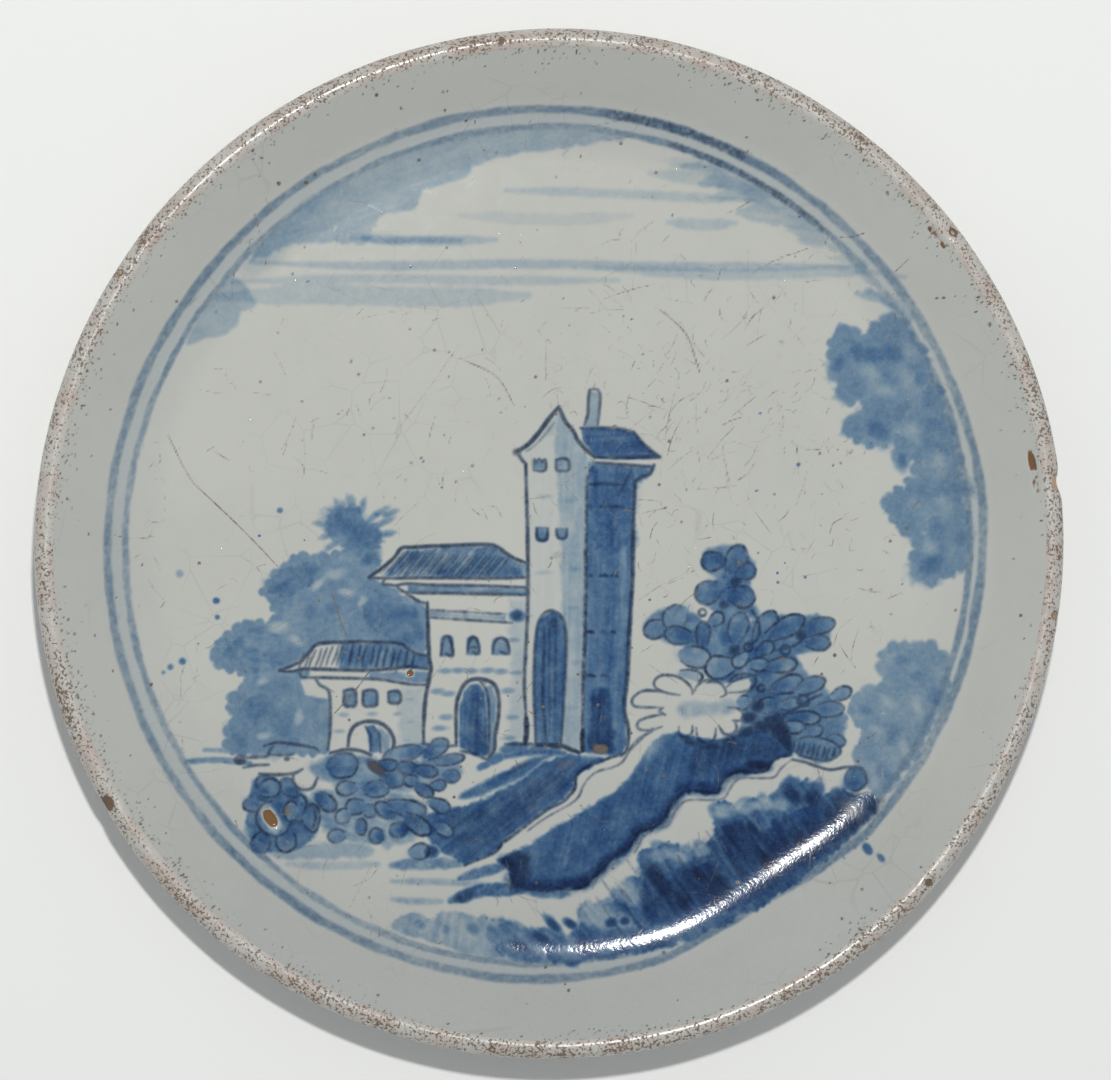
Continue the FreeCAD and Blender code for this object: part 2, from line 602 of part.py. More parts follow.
def make_wash_on_bend(label, drawing, skin):
    """A patch of wash that climbs the bend of the well."""
    return on_the_bend(label, skin, raise_prism(drawing, label + "_prism", "well_bend"))


def make_strokes(label, strokes):
    """Brush strokes on the flat floor, fused where they cross."""
    prisms = []
    for number, (width, points) in enumerate(strokes, start=1):
        drawing = stroke_drawing(f"{label}_{number}", width, points)
        prisms.append(raise_prism(drawing, f"{label}_{number}_prism", "paint_depth"))
    return join(label, prisms)


def make_strokes_on_bend(label, strokes, skin):
    """Brush strokes that run off the flat floor on to the bend of the well."""
    prisms = []
    for number, (width, points) in enumerate(strokes, start=1):
        drawing = stroke_drawing(f"{label}_{number}", width, points)
        prisms.append(raise_prism(drawing, f"{label}_{number}_prism", "well_bend"))
    return on_the_bend(label, skin, join(label + "_prisms", prisms))


def make_spots(label, skin):
    """Stray round drops of paint."""
    drops = []
    for number, (x, y, radius) in enumerate(PAINT_SPOTS, start=1):
        drop = DOC.addObject("Part::Cylinder", f"{label}_{number}")
        drop.Radius = radius
        drop.setExpression("Height", bound("well_bend"))
        drop.Placement.Base = V(x, y, 0)
        place_on_floor(drop)
        drops.append(drop)
    return on_the_bend(label, skin, join(label + "_drops", drops))


def make_sky(skin):
    """The washes and the long streaks above the buildings."""
    left = make_wash_on_bend("sky_wash_left", blob_drawing("sky_wash_left", SKY_LEFT), skin)
    right = make_wash_on_bend("sky_wash_right", blob_drawing("sky_wash_right", SKY_RIGHT), skin)
    return [left, right, make_strokes_on_bend("sky_streaks", SKY_STREAKS, skin)]


def make_trees(skin):
    """The two trees at the right edge and the trees behind the houses."""
    return [
        make_wash_on_bend("far_tree_upper", blob_drawing("far_tree_upper", FAR_TREE_UPPER), skin),
        make_wash_on_bend("far_tree_lower", blob_drawing("far_tree_lower", FAR_TREE_LOWER), skin),
        make_wash("left_tree_crown", blob_drawing("left_tree_crown", LEFT_TREE_CROWN)),
        make_wash_on_bend("left_tree", blob_drawing("left_tree", LEFT_TREE), skin),
    ]


def make_building(name, panels, lines):
    """The washes of one building, each cut back where the drawing lines pass, and the lines themselves."""
    outline = make_strokes(name + "_outline", lines)
    made = []
    for label, points in panels:
        wash = raise_prism(panel_drawing(label, points), label + "_wash", "paint_depth")
        made.append(cut_away(label, wash, outline))
    return [*made, outline]


def make_buildings():
    """The tower, the house beside it and the gatehouse."""
    tower = [
        ("tower_roof", TOWER_ROOF),
        ("tower_side", TOWER_SIDE),
        ("tower_front_shade", TOWER_FRONT_SHADE),
        ("tower_door", TOWER_DOOR),
    ]
    house = [("house_roof", HOUSE_ROOF), ("house_band", HOUSE_BAND), ("house_door", HOUSE_DOOR)]
    gate = [("gate_roof", GATE_ROOF), ("gate_arch", GATE_ARCH)]
    return [
        *make_building("tower", tower, TOWER_LINES),
        *make_building("house", house, HOUSE_LINES),
        *make_building("gate", gate, GATE_LINES),
    ]


def make_ground(skin):
    """Banks, leaves and loose strokes, with the bank's drawing lines let into the washes."""
    outline = make_strokes("bank_outline", BANK_LINES)
    near = raise_prism(blob_drawing("near_bank", NEAR_BANK), "near_bank_wash", "paint_depth")
    middle = raise_prism(blob_drawing("middle_bank", MIDDLE_BANK), "middle_bank_wash", "paint_depth")
    return [
        make_wash("shrub", blob_drawing("shrub", SHRUB)),
        make_wash_on_bend("bush", blob_drawing("bush", BUSH), skin),
        cut_away("near_bank", near, outline),
        cut_away("middle_bank", middle, outline),
        make_wash_on_bend("dark_foliage", blob_drawing("dark_foliage", DARK_FOLIAGE), skin),
        make_strokes_on_bend("ground_strokes", GROUND_STROKES, skin),
        outline,
        make_spots("paint_spots", skin),
    ]


# --- the whole plate --------------------------------------------------------------------------------------------


def check_document():
    """Stop if any object of the document failed."""
    DOC.recompute()
    for thing in DOC.Objects:
        if "Invalid" in thing.State or "Error" in thing.State:
            raise RuntimeError(f"{thing.Label} failed: {thing.State}")


def write_step(piece):
    """Write one sub-part to its file, after checking its shape."""
    shape = piece.Shape
    if shape.isNull() or not shape.isValid() or not shape.Solids:
        raise RuntimeError(f"{piece.Label} has no sound solid")
    shape.exportStep(f"parts/{piece.Label}.step")
    box = shape.BoundBox
    print(
        f"{piece.Label:20s} solids {len(shape.Solids):2d}  volume {shape.Volume:10.2f}"
        f"  x {box.XMin:7.2f} {box.XMax:7.2f}  y {box.YMin:7.2f} {box.YMax:7.2f}  z {box.ZMin:6.2f} {box.ZMax:6.2f}"
    )


def main():
    """Build the plate from the clay up and write every sub-part."""
    pieces = [
        make_clay_body(),
        make_foot_ring(),
        make_face_glaze(),
        make_lip_glaze(),
        make_back_glaze(),
        make_base_glaze(),
    ]
    skin = make_paint_skin()
    pieces += [make_ring_line("outer_ring_line", skin), make_ring_line("inner_ring_line", skin)]
    pieces += make_sky(skin)
    pieces += make_trees(skin)
    pieces += make_buildings()
    pieces += make_ground(skin)
    check_document()
    os.makedirs("parts", exist_ok=True)
    for piece in pieces:
        write_step(piece)


main()
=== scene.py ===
"""A souvenir plate of tin-glazed earthenware, painted by hand in cobalt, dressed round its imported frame.

The clay, the glaze and the brushwork are built in the order that they are made: the potter's section gives
every surface, the painter's strokes are laid on a grid of paint depths, and the glaze carries those depths as
an attribute that its finish reads. Sizes are millimetres until a mesh is written in metres.
"""

from __future__ import annotations

import logging
import math
import sys
from dataclasses import dataclass, field
from enum import Enum

import bpy
import numpy as np
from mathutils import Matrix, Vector

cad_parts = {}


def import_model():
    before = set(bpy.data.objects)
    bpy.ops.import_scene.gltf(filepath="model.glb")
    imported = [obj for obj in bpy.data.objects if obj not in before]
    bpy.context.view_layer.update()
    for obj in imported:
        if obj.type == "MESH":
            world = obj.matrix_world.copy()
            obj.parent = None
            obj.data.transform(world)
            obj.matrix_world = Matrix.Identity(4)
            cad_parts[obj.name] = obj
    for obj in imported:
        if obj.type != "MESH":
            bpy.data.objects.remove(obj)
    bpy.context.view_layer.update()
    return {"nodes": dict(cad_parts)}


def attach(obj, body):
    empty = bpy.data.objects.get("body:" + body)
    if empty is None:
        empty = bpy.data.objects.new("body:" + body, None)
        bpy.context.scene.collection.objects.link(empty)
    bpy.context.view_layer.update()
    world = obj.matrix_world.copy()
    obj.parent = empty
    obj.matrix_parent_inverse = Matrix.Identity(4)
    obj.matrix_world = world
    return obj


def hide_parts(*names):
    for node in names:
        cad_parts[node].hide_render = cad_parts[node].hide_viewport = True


LOG = logging.getLogger("plate")
MM = 0.001
Points = list[tuple[float, float]]
Spot = tuple[slice, slice]


# ---------------------------------------------------------------- the potter's section


@dataclass
class Section:
    """The section of the dish: flat floor, bend, straight wall and round lip, one thickness throughout.

    Args:
        rim: outside radius of the lip.
        floor: radius of the flat floor.
        height: glazed face of the floor above the table.
        bend: radius of the bend on the face.
        slope: angle of the wall, in radians.
        thickness: through clay and glaze.
    """

    rim: float
    height: float
    floor: float = 84.5
    bend: float = 24.0
    slope: float = math.radians(36)
    thickness: float = 5.2

    @property
    def bead(self) -> float:
        """Radius of the round lip."""
        return self.thickness / 2

    @property
    def lip_r(self) -> float:
        """Distance of the middle of the lip from the axis."""
        return self.rim - self.bead

    @property
    def lip_z(self) -> float:
        """Height of the middle of the lip."""
        reach = self.bend + self.bead
        run = self.lip_r - self.floor - reach * math.sin(self.slope)
        return self.height + self.bend - reach * math.cos(self.slope) + run * math.tan(self.slope)

    @property
    def wall_top(self) -> float:
        """Distance from the axis at which the face meets the lip."""
        return self.lip_r - self.bead * math.sin(self.slope)

    def face(self, r: np.ndarray, depth: float = 0.0) -> tuple[np.ndarray, np.ndarray]:
        """Height and steepness of a layer of the dish.

        Args:
            r: distances from the axis.
            depth: how far the layer lies under the face.

        Returns:
            Heights, and the tangent of the slope at each distance.
        """
        reach = self.bend + depth
        run = np.clip(r - self.floor, 0.0, reach * math.sin(self.slope))
        drop = np.sqrt(reach**2 - run**2)
        beyond = np.maximum(r - self.floor - reach * math.sin(self.slope), 0.0)
        z = self.height + self.bend - drop + beyond * math.tan(self.slope)
        return z, run / drop


@dataclass
class Throwing:
    """What the kiln and the hand did to a true circle.

    Args:
        swell: outward swell of the rim, a wave of so many lobes, size in mm and phase in degrees.
        pull_angle: where the bend was drawn inwards, degrees.
        pull: how far it was drawn in.
        pull_width: spread of that place, degrees.
        shallow: furthest that the rim goes in, less than its glaze is thick.
        drift_from: distance from the axis at which the wall begins to move with the rim.
        drift_over: distance over which it comes to move fully.
    """

    swell: tuple[tuple[int, float, float], ...] = ((2, 0.35, 38.0), (3, 0.30, 68.0), (5, 0.12, 10.0))
    pull_angle: float = 304.0
    pull: float = 2.6
    pull_width: float = 11.0
    shallow: float = -0.3
    drift_from: float = 84.0
    drift_over: float = 24.0

    def rim_shift(self, angle: np.ndarray) -> np.ndarray:
        """How far the rim stands out of true at each angle."""
        shift = np.zeros_like(angle)
        for lobes, size, phase in self.swell:
            shift += size * np.cos(lobes * (angle - math.radians(phase)))
        return np.maximum(shift, self.shallow)

    def drift(self, r: np.ndarray, angle: np.ndarray) -> np.ndarray:
        """How far the wall has moved out with the rim, from nothing at the bend to all of it at the lip."""
        return self.rim_shift(angle) * ease((r - self.drift_from) / self.drift_over)

    def bend_shift(self, angle: np.ndarray) -> np.ndarray:
        """How far the bend is drawn towards the axis at each angle."""
        off = np.degrees(np.angle(np.exp(1j * (angle - math.radians(self.pull_angle)))))
        return self.pull * np.exp(-((off / self.pull_width) ** 2))


def way(*numbers: float) -> Points:
    """Points, each from its x and its y in turn."""
    return list(zip(numbers[::2], numbers[1::2]))


def ease(t: np.ndarray) -> np.ndarray:
    """A smooth step from 0 to 1."""
    t = np.clip(t, 0.0, 1.0)
    return t * t * (3 - 2 * t)


# ---------------------------------------------------------------- the painter's tools


class Coat(Enum):
    """The kinds of mark that the face can carry."""

    COBALT = 0
    # LINE is the dark drawing colour; it also carries the painted shade over the wall and towards the bottom.
    LINE = 1
    STAIN = 2
    BLOOM = 3


def scatter(u: np.ndarray, v: np.ndarray, seed: int) -> np.ndarray:
    """Smooth noise from -1 to 1 at points measured in its own grain.

    Args:
        u: first coordinate, one grain a unit.
        v: second coordinate.
        seed: which pattern.

    Returns:
        The noise at each point.
    """
    i, j = np.floor(u).astype(np.int64), np.floor(v).astype(np.int64)
    fu, fv = ease(u - i), ease(v - j)

    def corner(a: int, b: int) -> np.ndarray:
        """The value at a corner of each grain's cell."""
        n = ((i + a) * 374761393 + (j + b) * 668265263 + seed * 974711) & 0xFFFFFFFF
        n = ((n ^ (n >> 13)) * 1274126177) & 0xFFFFFFFF
        return ((n ^ (n >> 16)) & 0xFFFF) / 32767.5 - 1.0

    low = corner(0, 0) * (1 - fu) + corner(1, 0) * fu
    high = corner(0, 1) * (1 - fu) + corner(1, 1) * fu
    return low * (1 - fv) + high * fv


def flowing(points: Points, closed: bool, pitch: float = 0.8) -> np.ndarray:
    """A smooth route through points.

    Args:
        points: where the brush passes.
        closed: whether it comes back to its start.
        pitch: rough distance between the route's own points.

    Returns:
        The route, one point a row.
    """
    p = np.array(points, float)
    if len(p) < 3:
        return p
    ring = np.vstack([p[-1], p, p[:2]]) if closed else np.vstack([2 * p[0] - p[1], p, 2 * p[-1] - p[-2]])
    route = []
    for a, b, c, d in zip(ring, ring[1:], ring[2:], ring[3:]):
        count = max(2, int(np.hypot(*(c - b)) / pitch) + 1)
        t = np.linspace(0, 1, count, endpoint=False)[:, None]
        bend = (2 * a - 5 * b + 4 * c - d) * t**2
        twist = (3 * b - a - 3 * c + d) * t**3
        route.append(0.5 * (2 * b + (c - a) * t + bend + twist))
    if not closed:
        route.append(p[-1:])
    return np.vstack(route)


@dataclass
class Canvas:
    """The face of the plate as even grids of paint, x to the right and y up from its middle.

    Args:
        step: distance between grid points.
        half: how far the grids reach from the middle.
    """

    step: float = 0.175
    half: float = 112.0
    coats: np.ndarray = field(init=False)
    axis: np.ndarray = field(init=False)
    seed: int = 0

    def __post_init__(self) -> None:
        """Lay out clean grids."""
        self.axis = np.arange(round(2 * self.half / self.step) + 1) * self.step - self.half
        self.coats = np.zeros((len(Coat), len(self.axis), len(self.axis)), np.float32)

    def next_seed(self) -> int:
        """A new pattern of noise for each mark."""
        self.seed += 1
        return self.seed

    def window(self, low: np.ndarray, high: np.ndarray, pad: float) -> Spot:
        """The rows and columns round a box.

        Args:
            low: its lowest x and y.
            high: its highest x and y.
            pad: margin on every side.

        Returns:
            Row slice and column slice.
        """
        a = np.clip(((low - pad + self.half) / self.step).astype(int), 0, len(self.axis) - 1)
        b = np.clip(((high + pad + self.half) / self.step).astype(int) + 2, 1, len(self.axis))
        return slice(a[1], b[1]), slice(a[0], b[0])

    def near_route(self, route: np.ndarray, reach: float) -> tuple[Spot, np.ndarray, np.ndarray]:
        """Distance from a route, and how far along it, on the part of the grid within reach.

        Args:
            route: its points.
            reach: beyond this the distance isn't needed.

        Returns:
            The window, the distances and the share of the route's length.
        """
        spot = self.window(route.min(0), route.max(0), reach)
        rows, columns = spot
        away = np.full((rows.stop - rows.start, columns.stop - columns.start), reach, np.float32)
        along = np.zeros_like(away)
        steps = np.hypot(*np.diff(route, axis=0).T)
        total = max(steps.sum(), 1e-6)
        done = 0.0
        for start, end, length in zip(route, route[1:], steps):
            if length < 1e-9:
                continue
            r, c = self.window(np.minimum(start, end), np.maximum(start, end), reach)
            x, y = self.axis[c][None, :] - start[0], self.axis[r][:, None] - start[1]
            ux, uy = (end - start) / length
            t = np.clip(x * ux + y * uy, 0, length)
            d = np.hypot(x - t * ux, y - t * uy)
            here = (slice(r.start - rows.start, r.stop - rows.start), slice(c.start - columns.start,
                c.stop - columns.start))
            closer = d < away[here]
            away[here] = np.where(closer, d, away[here])
            along[here] = np.where(closer, (done + t) / total, along[here])
            done += length
        return spot, away, along

    def lay(self, coat: Coat, spot: Spot, depth: np.ndarray, add: bool) -> None:
        """Put paint on a window: over what is there, or added to it."""
        grid = self.coats[coat.value][spot]
        grid[...] = grid + depth if add else np.maximum(grid, depth)

    def stroke(
        self,
        points: Points,
        width: float,
        depth: float,
        coat: Coat = Coat.LINE,
        soft: float = 0.28,
        taper: tuple[float, float] = (0.75, 0.75),
        fade: tuple[float, float] = (1.0, 1.0),
        patchy: float = 0.3,
        body: float = 0.2,
        straight: bool = False,
        closed: bool = False,
        add: bool = False,
    ) -> None:
        """One stroke of a brush.

        Args:
            points: where it passes.
            width: its full width.
            depth: how much paint it leaves.
            coat: what it leaves.
            soft: width of its edge.
            taper: share of the width at its start and end.
            fade: share of the depth at its start and end.
            patchy: how unevenly the paint lies.
            body: share of a dark line's depth that also counts as blue.
            straight: true for runs with corners.
            closed: true for a loop.
            add: true to deepen what is there.
        """
        if straight:
            route = np.array(points + points[:1] if closed else points, float)
        else:
            route = flowing(points, closed)
        if closed and not straight:
            route = np.vstack([route, route[:1]])
        spot, away, along = self.near_route(route, width / 2 + 2 * soft + 0.3)
        seed = self.next_seed()
        x, y = self.axis[spot[1]][None, :], self.axis[spot[0]][:, None]
        ends = np.minimum(along, 1 - along) * 2
        side = np.where(along < 0.5, taper[0], taper[1])
        swell = side + (1 - side) * ease(ends * 2.2)
        half = 0.5 * width * swell * (1 + 0.14 * scatter(x / 1.3, y / 1.3, seed))
        mask = ease((half - away) / (2 * soft) + 0.5)
        load = fade[0] + (fade[1] - fade[0]) * along
        grain = 1 + patchy * (0.6 * scatter(x / 0.55, y / 0.55, seed + 500) + 0.6 * scatter(x / 1.6,
            y / 1.6, seed + 900))
        paint = (mask * load * grain * depth).astype(np.float32)
        self.lay(coat, spot, paint, add)
        if coat is Coat.LINE and body:
            self.lay(Coat.COBALT, spot, paint * body, False)

    def wash(
        self,
        points: Points,
        depth: float,
        coat: Coat = Coat.COBALT,
        soft: float = 0.45,
        ragged: float = 0.35,
        mottle: float = 0.18,
        rim: float = 0.0,
        streak: tuple[float, float] = (0.0, 0.0),
        straight: bool = False,
        add: bool = False,
        lift: float = 0.0,
    ) -> None:
        """A patch filled with the side of the brush, or lifted clean.

        Args:
            points: its outline.
            depth: how much paint it leaves.
            coat: what it leaves.
            soft: width of its edge.
            ragged: how far its edge wanders.
            mottle: how unevenly it lies.
            rim: how much darker it dries along its edge.
            streak: direction of the brush in degrees, and how strongly it shows.
            straight: true for straight sides.
            add: true to deepen what is there.
            lift: share of the paint to take away instead of adding any.
        """
        route = np.array(points, float) if straight else flowing(points, True, 1.2)
        route = np.vstack([route, route[:1]])
        reach = soft + ragged + 2.0
        spot, away, _ = self.near_route(route, reach)
        x, y = self.axis[spot[1]][None, :], self.axis[spot[0]][:, None]
        inside = np.zeros(away.shape, bool)
        for (ax, ay), (bx, by) in zip(route, route[1:]):
            if ay == by:
                continue
            rows = (y[:, 0] >= min(ay, by)) & (y[:, 0] < max(ay, by))
            cross = ax + (y[rows] - ay) * (bx - ax) / (by - ay)
            inside[rows] ^= x < cross
        seed = self.next_seed()
        wander = 0.7 * scatter(x / 1.9, y / 1.9, seed) + 0.4 * scatter(x / 0.7, y / 0.7, seed + 300)
        signed = np.where(inside, away, -away) + ragged * wander
        mask = ease(signed / (2 * soft) + 0.5)
        if lift:
            self.coats[coat.value][spot] *= (1 - lift * mask).astype(np.float32)
            return
        broad, fine = scatter(x / 3.1, y / 3.1, seed + 100), scatter(x / 1.1, y / 1.1, seed + 200)
        lie = 1 + mottle * (broad + 0.6 * fine)
        lie = lie + rim * np.exp(-np.maximum(signed, 0) / 0.6)
        if streak[1]:
            turn = math.radians(streak[0])
            u, v = x * math.cos(turn) + y * math.sin(turn), y * math.cos(turn) - x * math.sin(turn)
            lie = lie + streak[1] * (0.7 * scatter(u / 14, v / 0.75, seed + 400) + 0.5 * scatter(u / 5,
                v / 0.4, seed + 450))
        self.lay(coat, spot, (mask * np.maximum(lie, 0.05) * depth).astype(np.float32), add)

    def blot(
        self,
        x: float,
        y: float,
        wide: float,
        high: float,
        depth: float,
        turn: float = 0.0,
        coat: Coat = Coat.COBALT,
        crisp: float = 1.0,
        add: bool = False,
        lift: bool = False,
    ) -> None:
        """A round or oval touch of the brush.

        Args:
            x: its middle.
            y: its middle.
            wide: half its length.
            high: half its width.
            depth: how much paint it leaves.
            turn: degrees that its length is turned.
            coat: what it leaves.
            crisp: 1 for a soft edge, more for a firmer one.
            add: true to deepen what is there.
            lift: true to take paint away, depth being the share.
        """
        reach = max(wide, high) * 1.7
        spot = self.window(np.array([x - reach, y - reach]), np.array([x + reach, y + reach]), 0.0)
        dx, dy = self.axis[spot[1]][None, :] - x, self.axis[spot[0]][:, None] - y
        c, s = math.cos(math.radians(turn)), math.sin(math.radians(turn))
        seed = self.next_seed()
        uneven = 1 + 0.16 * scatter(dx / 1.1 + 40, dy / 1.1 + 40, seed)
        away = np.hypot((dx * c + dy * s) / wide, (dy * c - dx * s) / high) * uneven
        mask = ease((1 - away) * crisp + 0.5)
        grid = self.coats[coat.value][spot]
        if lift:
            grid *= (1 - depth * mask).astype(np.float32)
        else:
            self.lay(coat, spot, (mask * depth).astype(np.float32), add)

    def line(self, points: Points, w: float = 0.75, d: float = 1.45, **more: object) -> None:
        """A dark drawing line through points."""
        self.stroke(points, 0.8 * w, d, **more)

    def settle(self, spread: float) -> None:
        """Let every coat run a little into the wet glaze.

        Args:
            spread: how far, in mm.
        """
        taps = np.arange(-3, 4) * self.step
        weight = np.exp(-0.5 * (taps / spread) ** 2)
        weight /= weight.sum()
        for grid in self.coats:
            for axis in (0, 1):
                grid[...] = sum(w * np.roll(grid, k - 3, axis) for k, w in enumerate(weight))

    def read(self, x: np.ndarray, y: np.ndarray) -> np.ndarray:
        """The paint at any points.

        Args:
            x: how far right they are.
            y: how far up they are.

        Returns:
            Depths, one row a point and one column a coat.
        """
        u = np.clip((x + self.half) / self.step, 0, len(self.axis) - 1.001)
        v = np.clip((y + self.half) / self.step, 0, len(self.axis) - 1.001)
        i, j = u.astype(int), v.astype(int)
        fu, fv = u - i, v - j
        low = self.coats[:, j, i] * (1 - fu) + self.coats[:, j, i + 1] * fu
        high = self.coats[:, j + 1, i] * (1 - fu) + self.coats[:, j + 1, i + 1] * fu
        return (low * (1 - fv) + high * fv).T

    def leaf(
        self, x: float, y: float, long: float, wide: float, turn: float, fill: float, heart: float = 0.0,
        roots: tuple[tuple[float, float], ...] = (),
    ) -> None:
        """A leaf: a blue touch that hides what is behind it, with a thin line round its free end.

        Args:
            x: its middle.
            y: its middle.
            long: its length.
            wide: its width.
            turn: degrees that its length is turned.
            fill: depth of the blue inside.
            heart: depth of a darker root.
            roots: places that leaves grow from; this one grows from the nearest.
        """
        c, s = math.cos(math.radians(turn)), math.sin(math.radians(turn))
        if roots:
            root = min(roots, key=lambda spot: math.hypot(spot[0] - x, spot[1] - y))
            if (root[0] - x) * c + (root[1] - y) * s > 0:
                c, s = -c, -s
        grow = 1 + 0.06 * math.sin(7 * x + 3 * y)

        def plan(*marks: tuple[float, float]) -> Points:
            """Marks along and across the leaf, put in its place."""
            return [(x + u * long * c - v * wide * s, y + u * long * s + v * wide * c) for u, v in marks]

        whole = plan((-0.55, 0.1), (-0.25, 0.42), (0.15, 0.52 * grow), (0.45, 0.3), (0.52, -0.06),
            (0.3, -0.44), (-0.1, -0.5), (-0.5, -0.2))
        self.wash(whole, 0, Coat.LINE, lift=0.85, soft=0.3, ragged=0.1)
        self.wash(whole, 0, lift=0.45, soft=0.3, ragged=0.1)
        self.wash(whole, fill * 0.86, soft=0.4, ragged=0.2, mottle=0.3)
        self.blot(x - 0.3 * long * c, y - 0.3 * long * s, 0.34 * long, 0.42 * wide,
            fill * 0.22 + heart * 0.6, math.degrees(math.atan2(s, c)), crisp=0.7, add=True)
        side = math.sin(11 * x + 5 * y)
        free = plan((-0.5, 0.2 + 0.1 * side), (-0.2, 0.46), (0.18, 0.53 * grow), (0.46, 0.3), (0.53, -0.06),
            (0.3, -0.46), (-0.08 + 0.1 * side, -0.5), (-0.42, -0.3))
        self.stroke(free, 0.5, 1.3, soft=0.2, taper=(0.5, 0.5), fade=(0.7 + 0.3 * side, 1.0), patchy=0.6,
            body=0.3)

    def lobes(self, depth: float, *places: tuple[float, float, float], crisp: float = 0.6) -> None:
        """Round touches of a loaded brush, each given as x, y and radius."""
        for x, y, radius in places:
            lean = (x * 37 + y * 91) % 180
            self.blot(x, y, radius * 1.25, radius * 0.86, depth, lean, crisp=crisp)
            if crisp > 1:
                self.blot(x + 0.2 * radius, y - 0.25 * radius, radius * 0.6, radius * 0.5, depth * 1.14,
                    lean, crisp=0.7)

    def canopy(self, outline: Points, depth: float, lobe: float) -> None:
        """A mass of foliage with a lobed edge, uneven inside.

        Args:
            outline: its rough outline.
            depth: how much paint it leaves.
            lobe: radius of the lobes along its edge.
        """
        self.wash(outline, depth, soft=0.35, ragged=0.5, mottle=0.22)
        route = flowing(outline, True, lobe * 1.15)
        middle = route.mean(0)
        steps = np.concatenate([[0], np.cumsum(np.hypot(*np.diff(route, axis=0).T))])
        for k, at in enumerate(np.arange(0, steps[-1], lobe * 1.35)):
            x, y = (float(np.interp(at, steps, route[:, axis])) for axis in (0, 1))
            size = lobe * (0.72 + 0.3 * math.sin(k * 2.7 + x))
            inward = middle - np.array([x, y])
            x, y = np.array([x, y]) + inward / max(np.hypot(*inward), 1e-6) * size * 0.45
            self.blot(x, y, size, size * 0.85, depth * (1 + 0.1 * math.sin(k * 1.9)), (k * 67) % 180,
                crisp=2.2)

    def hatch(self, start: tuple[float, float], end: tuple[float, float], lean: tuple[float, float],
            count: int, w: float, d: float) -> None:
        """Even strokes side by side.

        Args:
            start: where the first begins.
            end: where the last begins.
            lean: from the start of a stroke to its end.
            count: how many.
            w: width of each.
            d: depth of each.
        """
        for k in range(count):
            t = k / max(count - 1, 1)
            x, y = start[0] + (end[0] - start[0]) * t, start[1] + (end[1] - start[1]) * t
            wave = 0.25 * math.sin(k * 2.4)
            reach = 1 + 0.12 * math.sin(k * 3.7)
            middle = (x + lean[0] * 0.5 * reach + wave, y + lean[1] * 0.5 * reach)
            self.stroke([(x, y), middle, (x + lean[0] * reach, y + lean[1] * reach)], w, d,
                taper=(0.6, 0.4))


# ---------------------------------------------------------------- the painted landscape


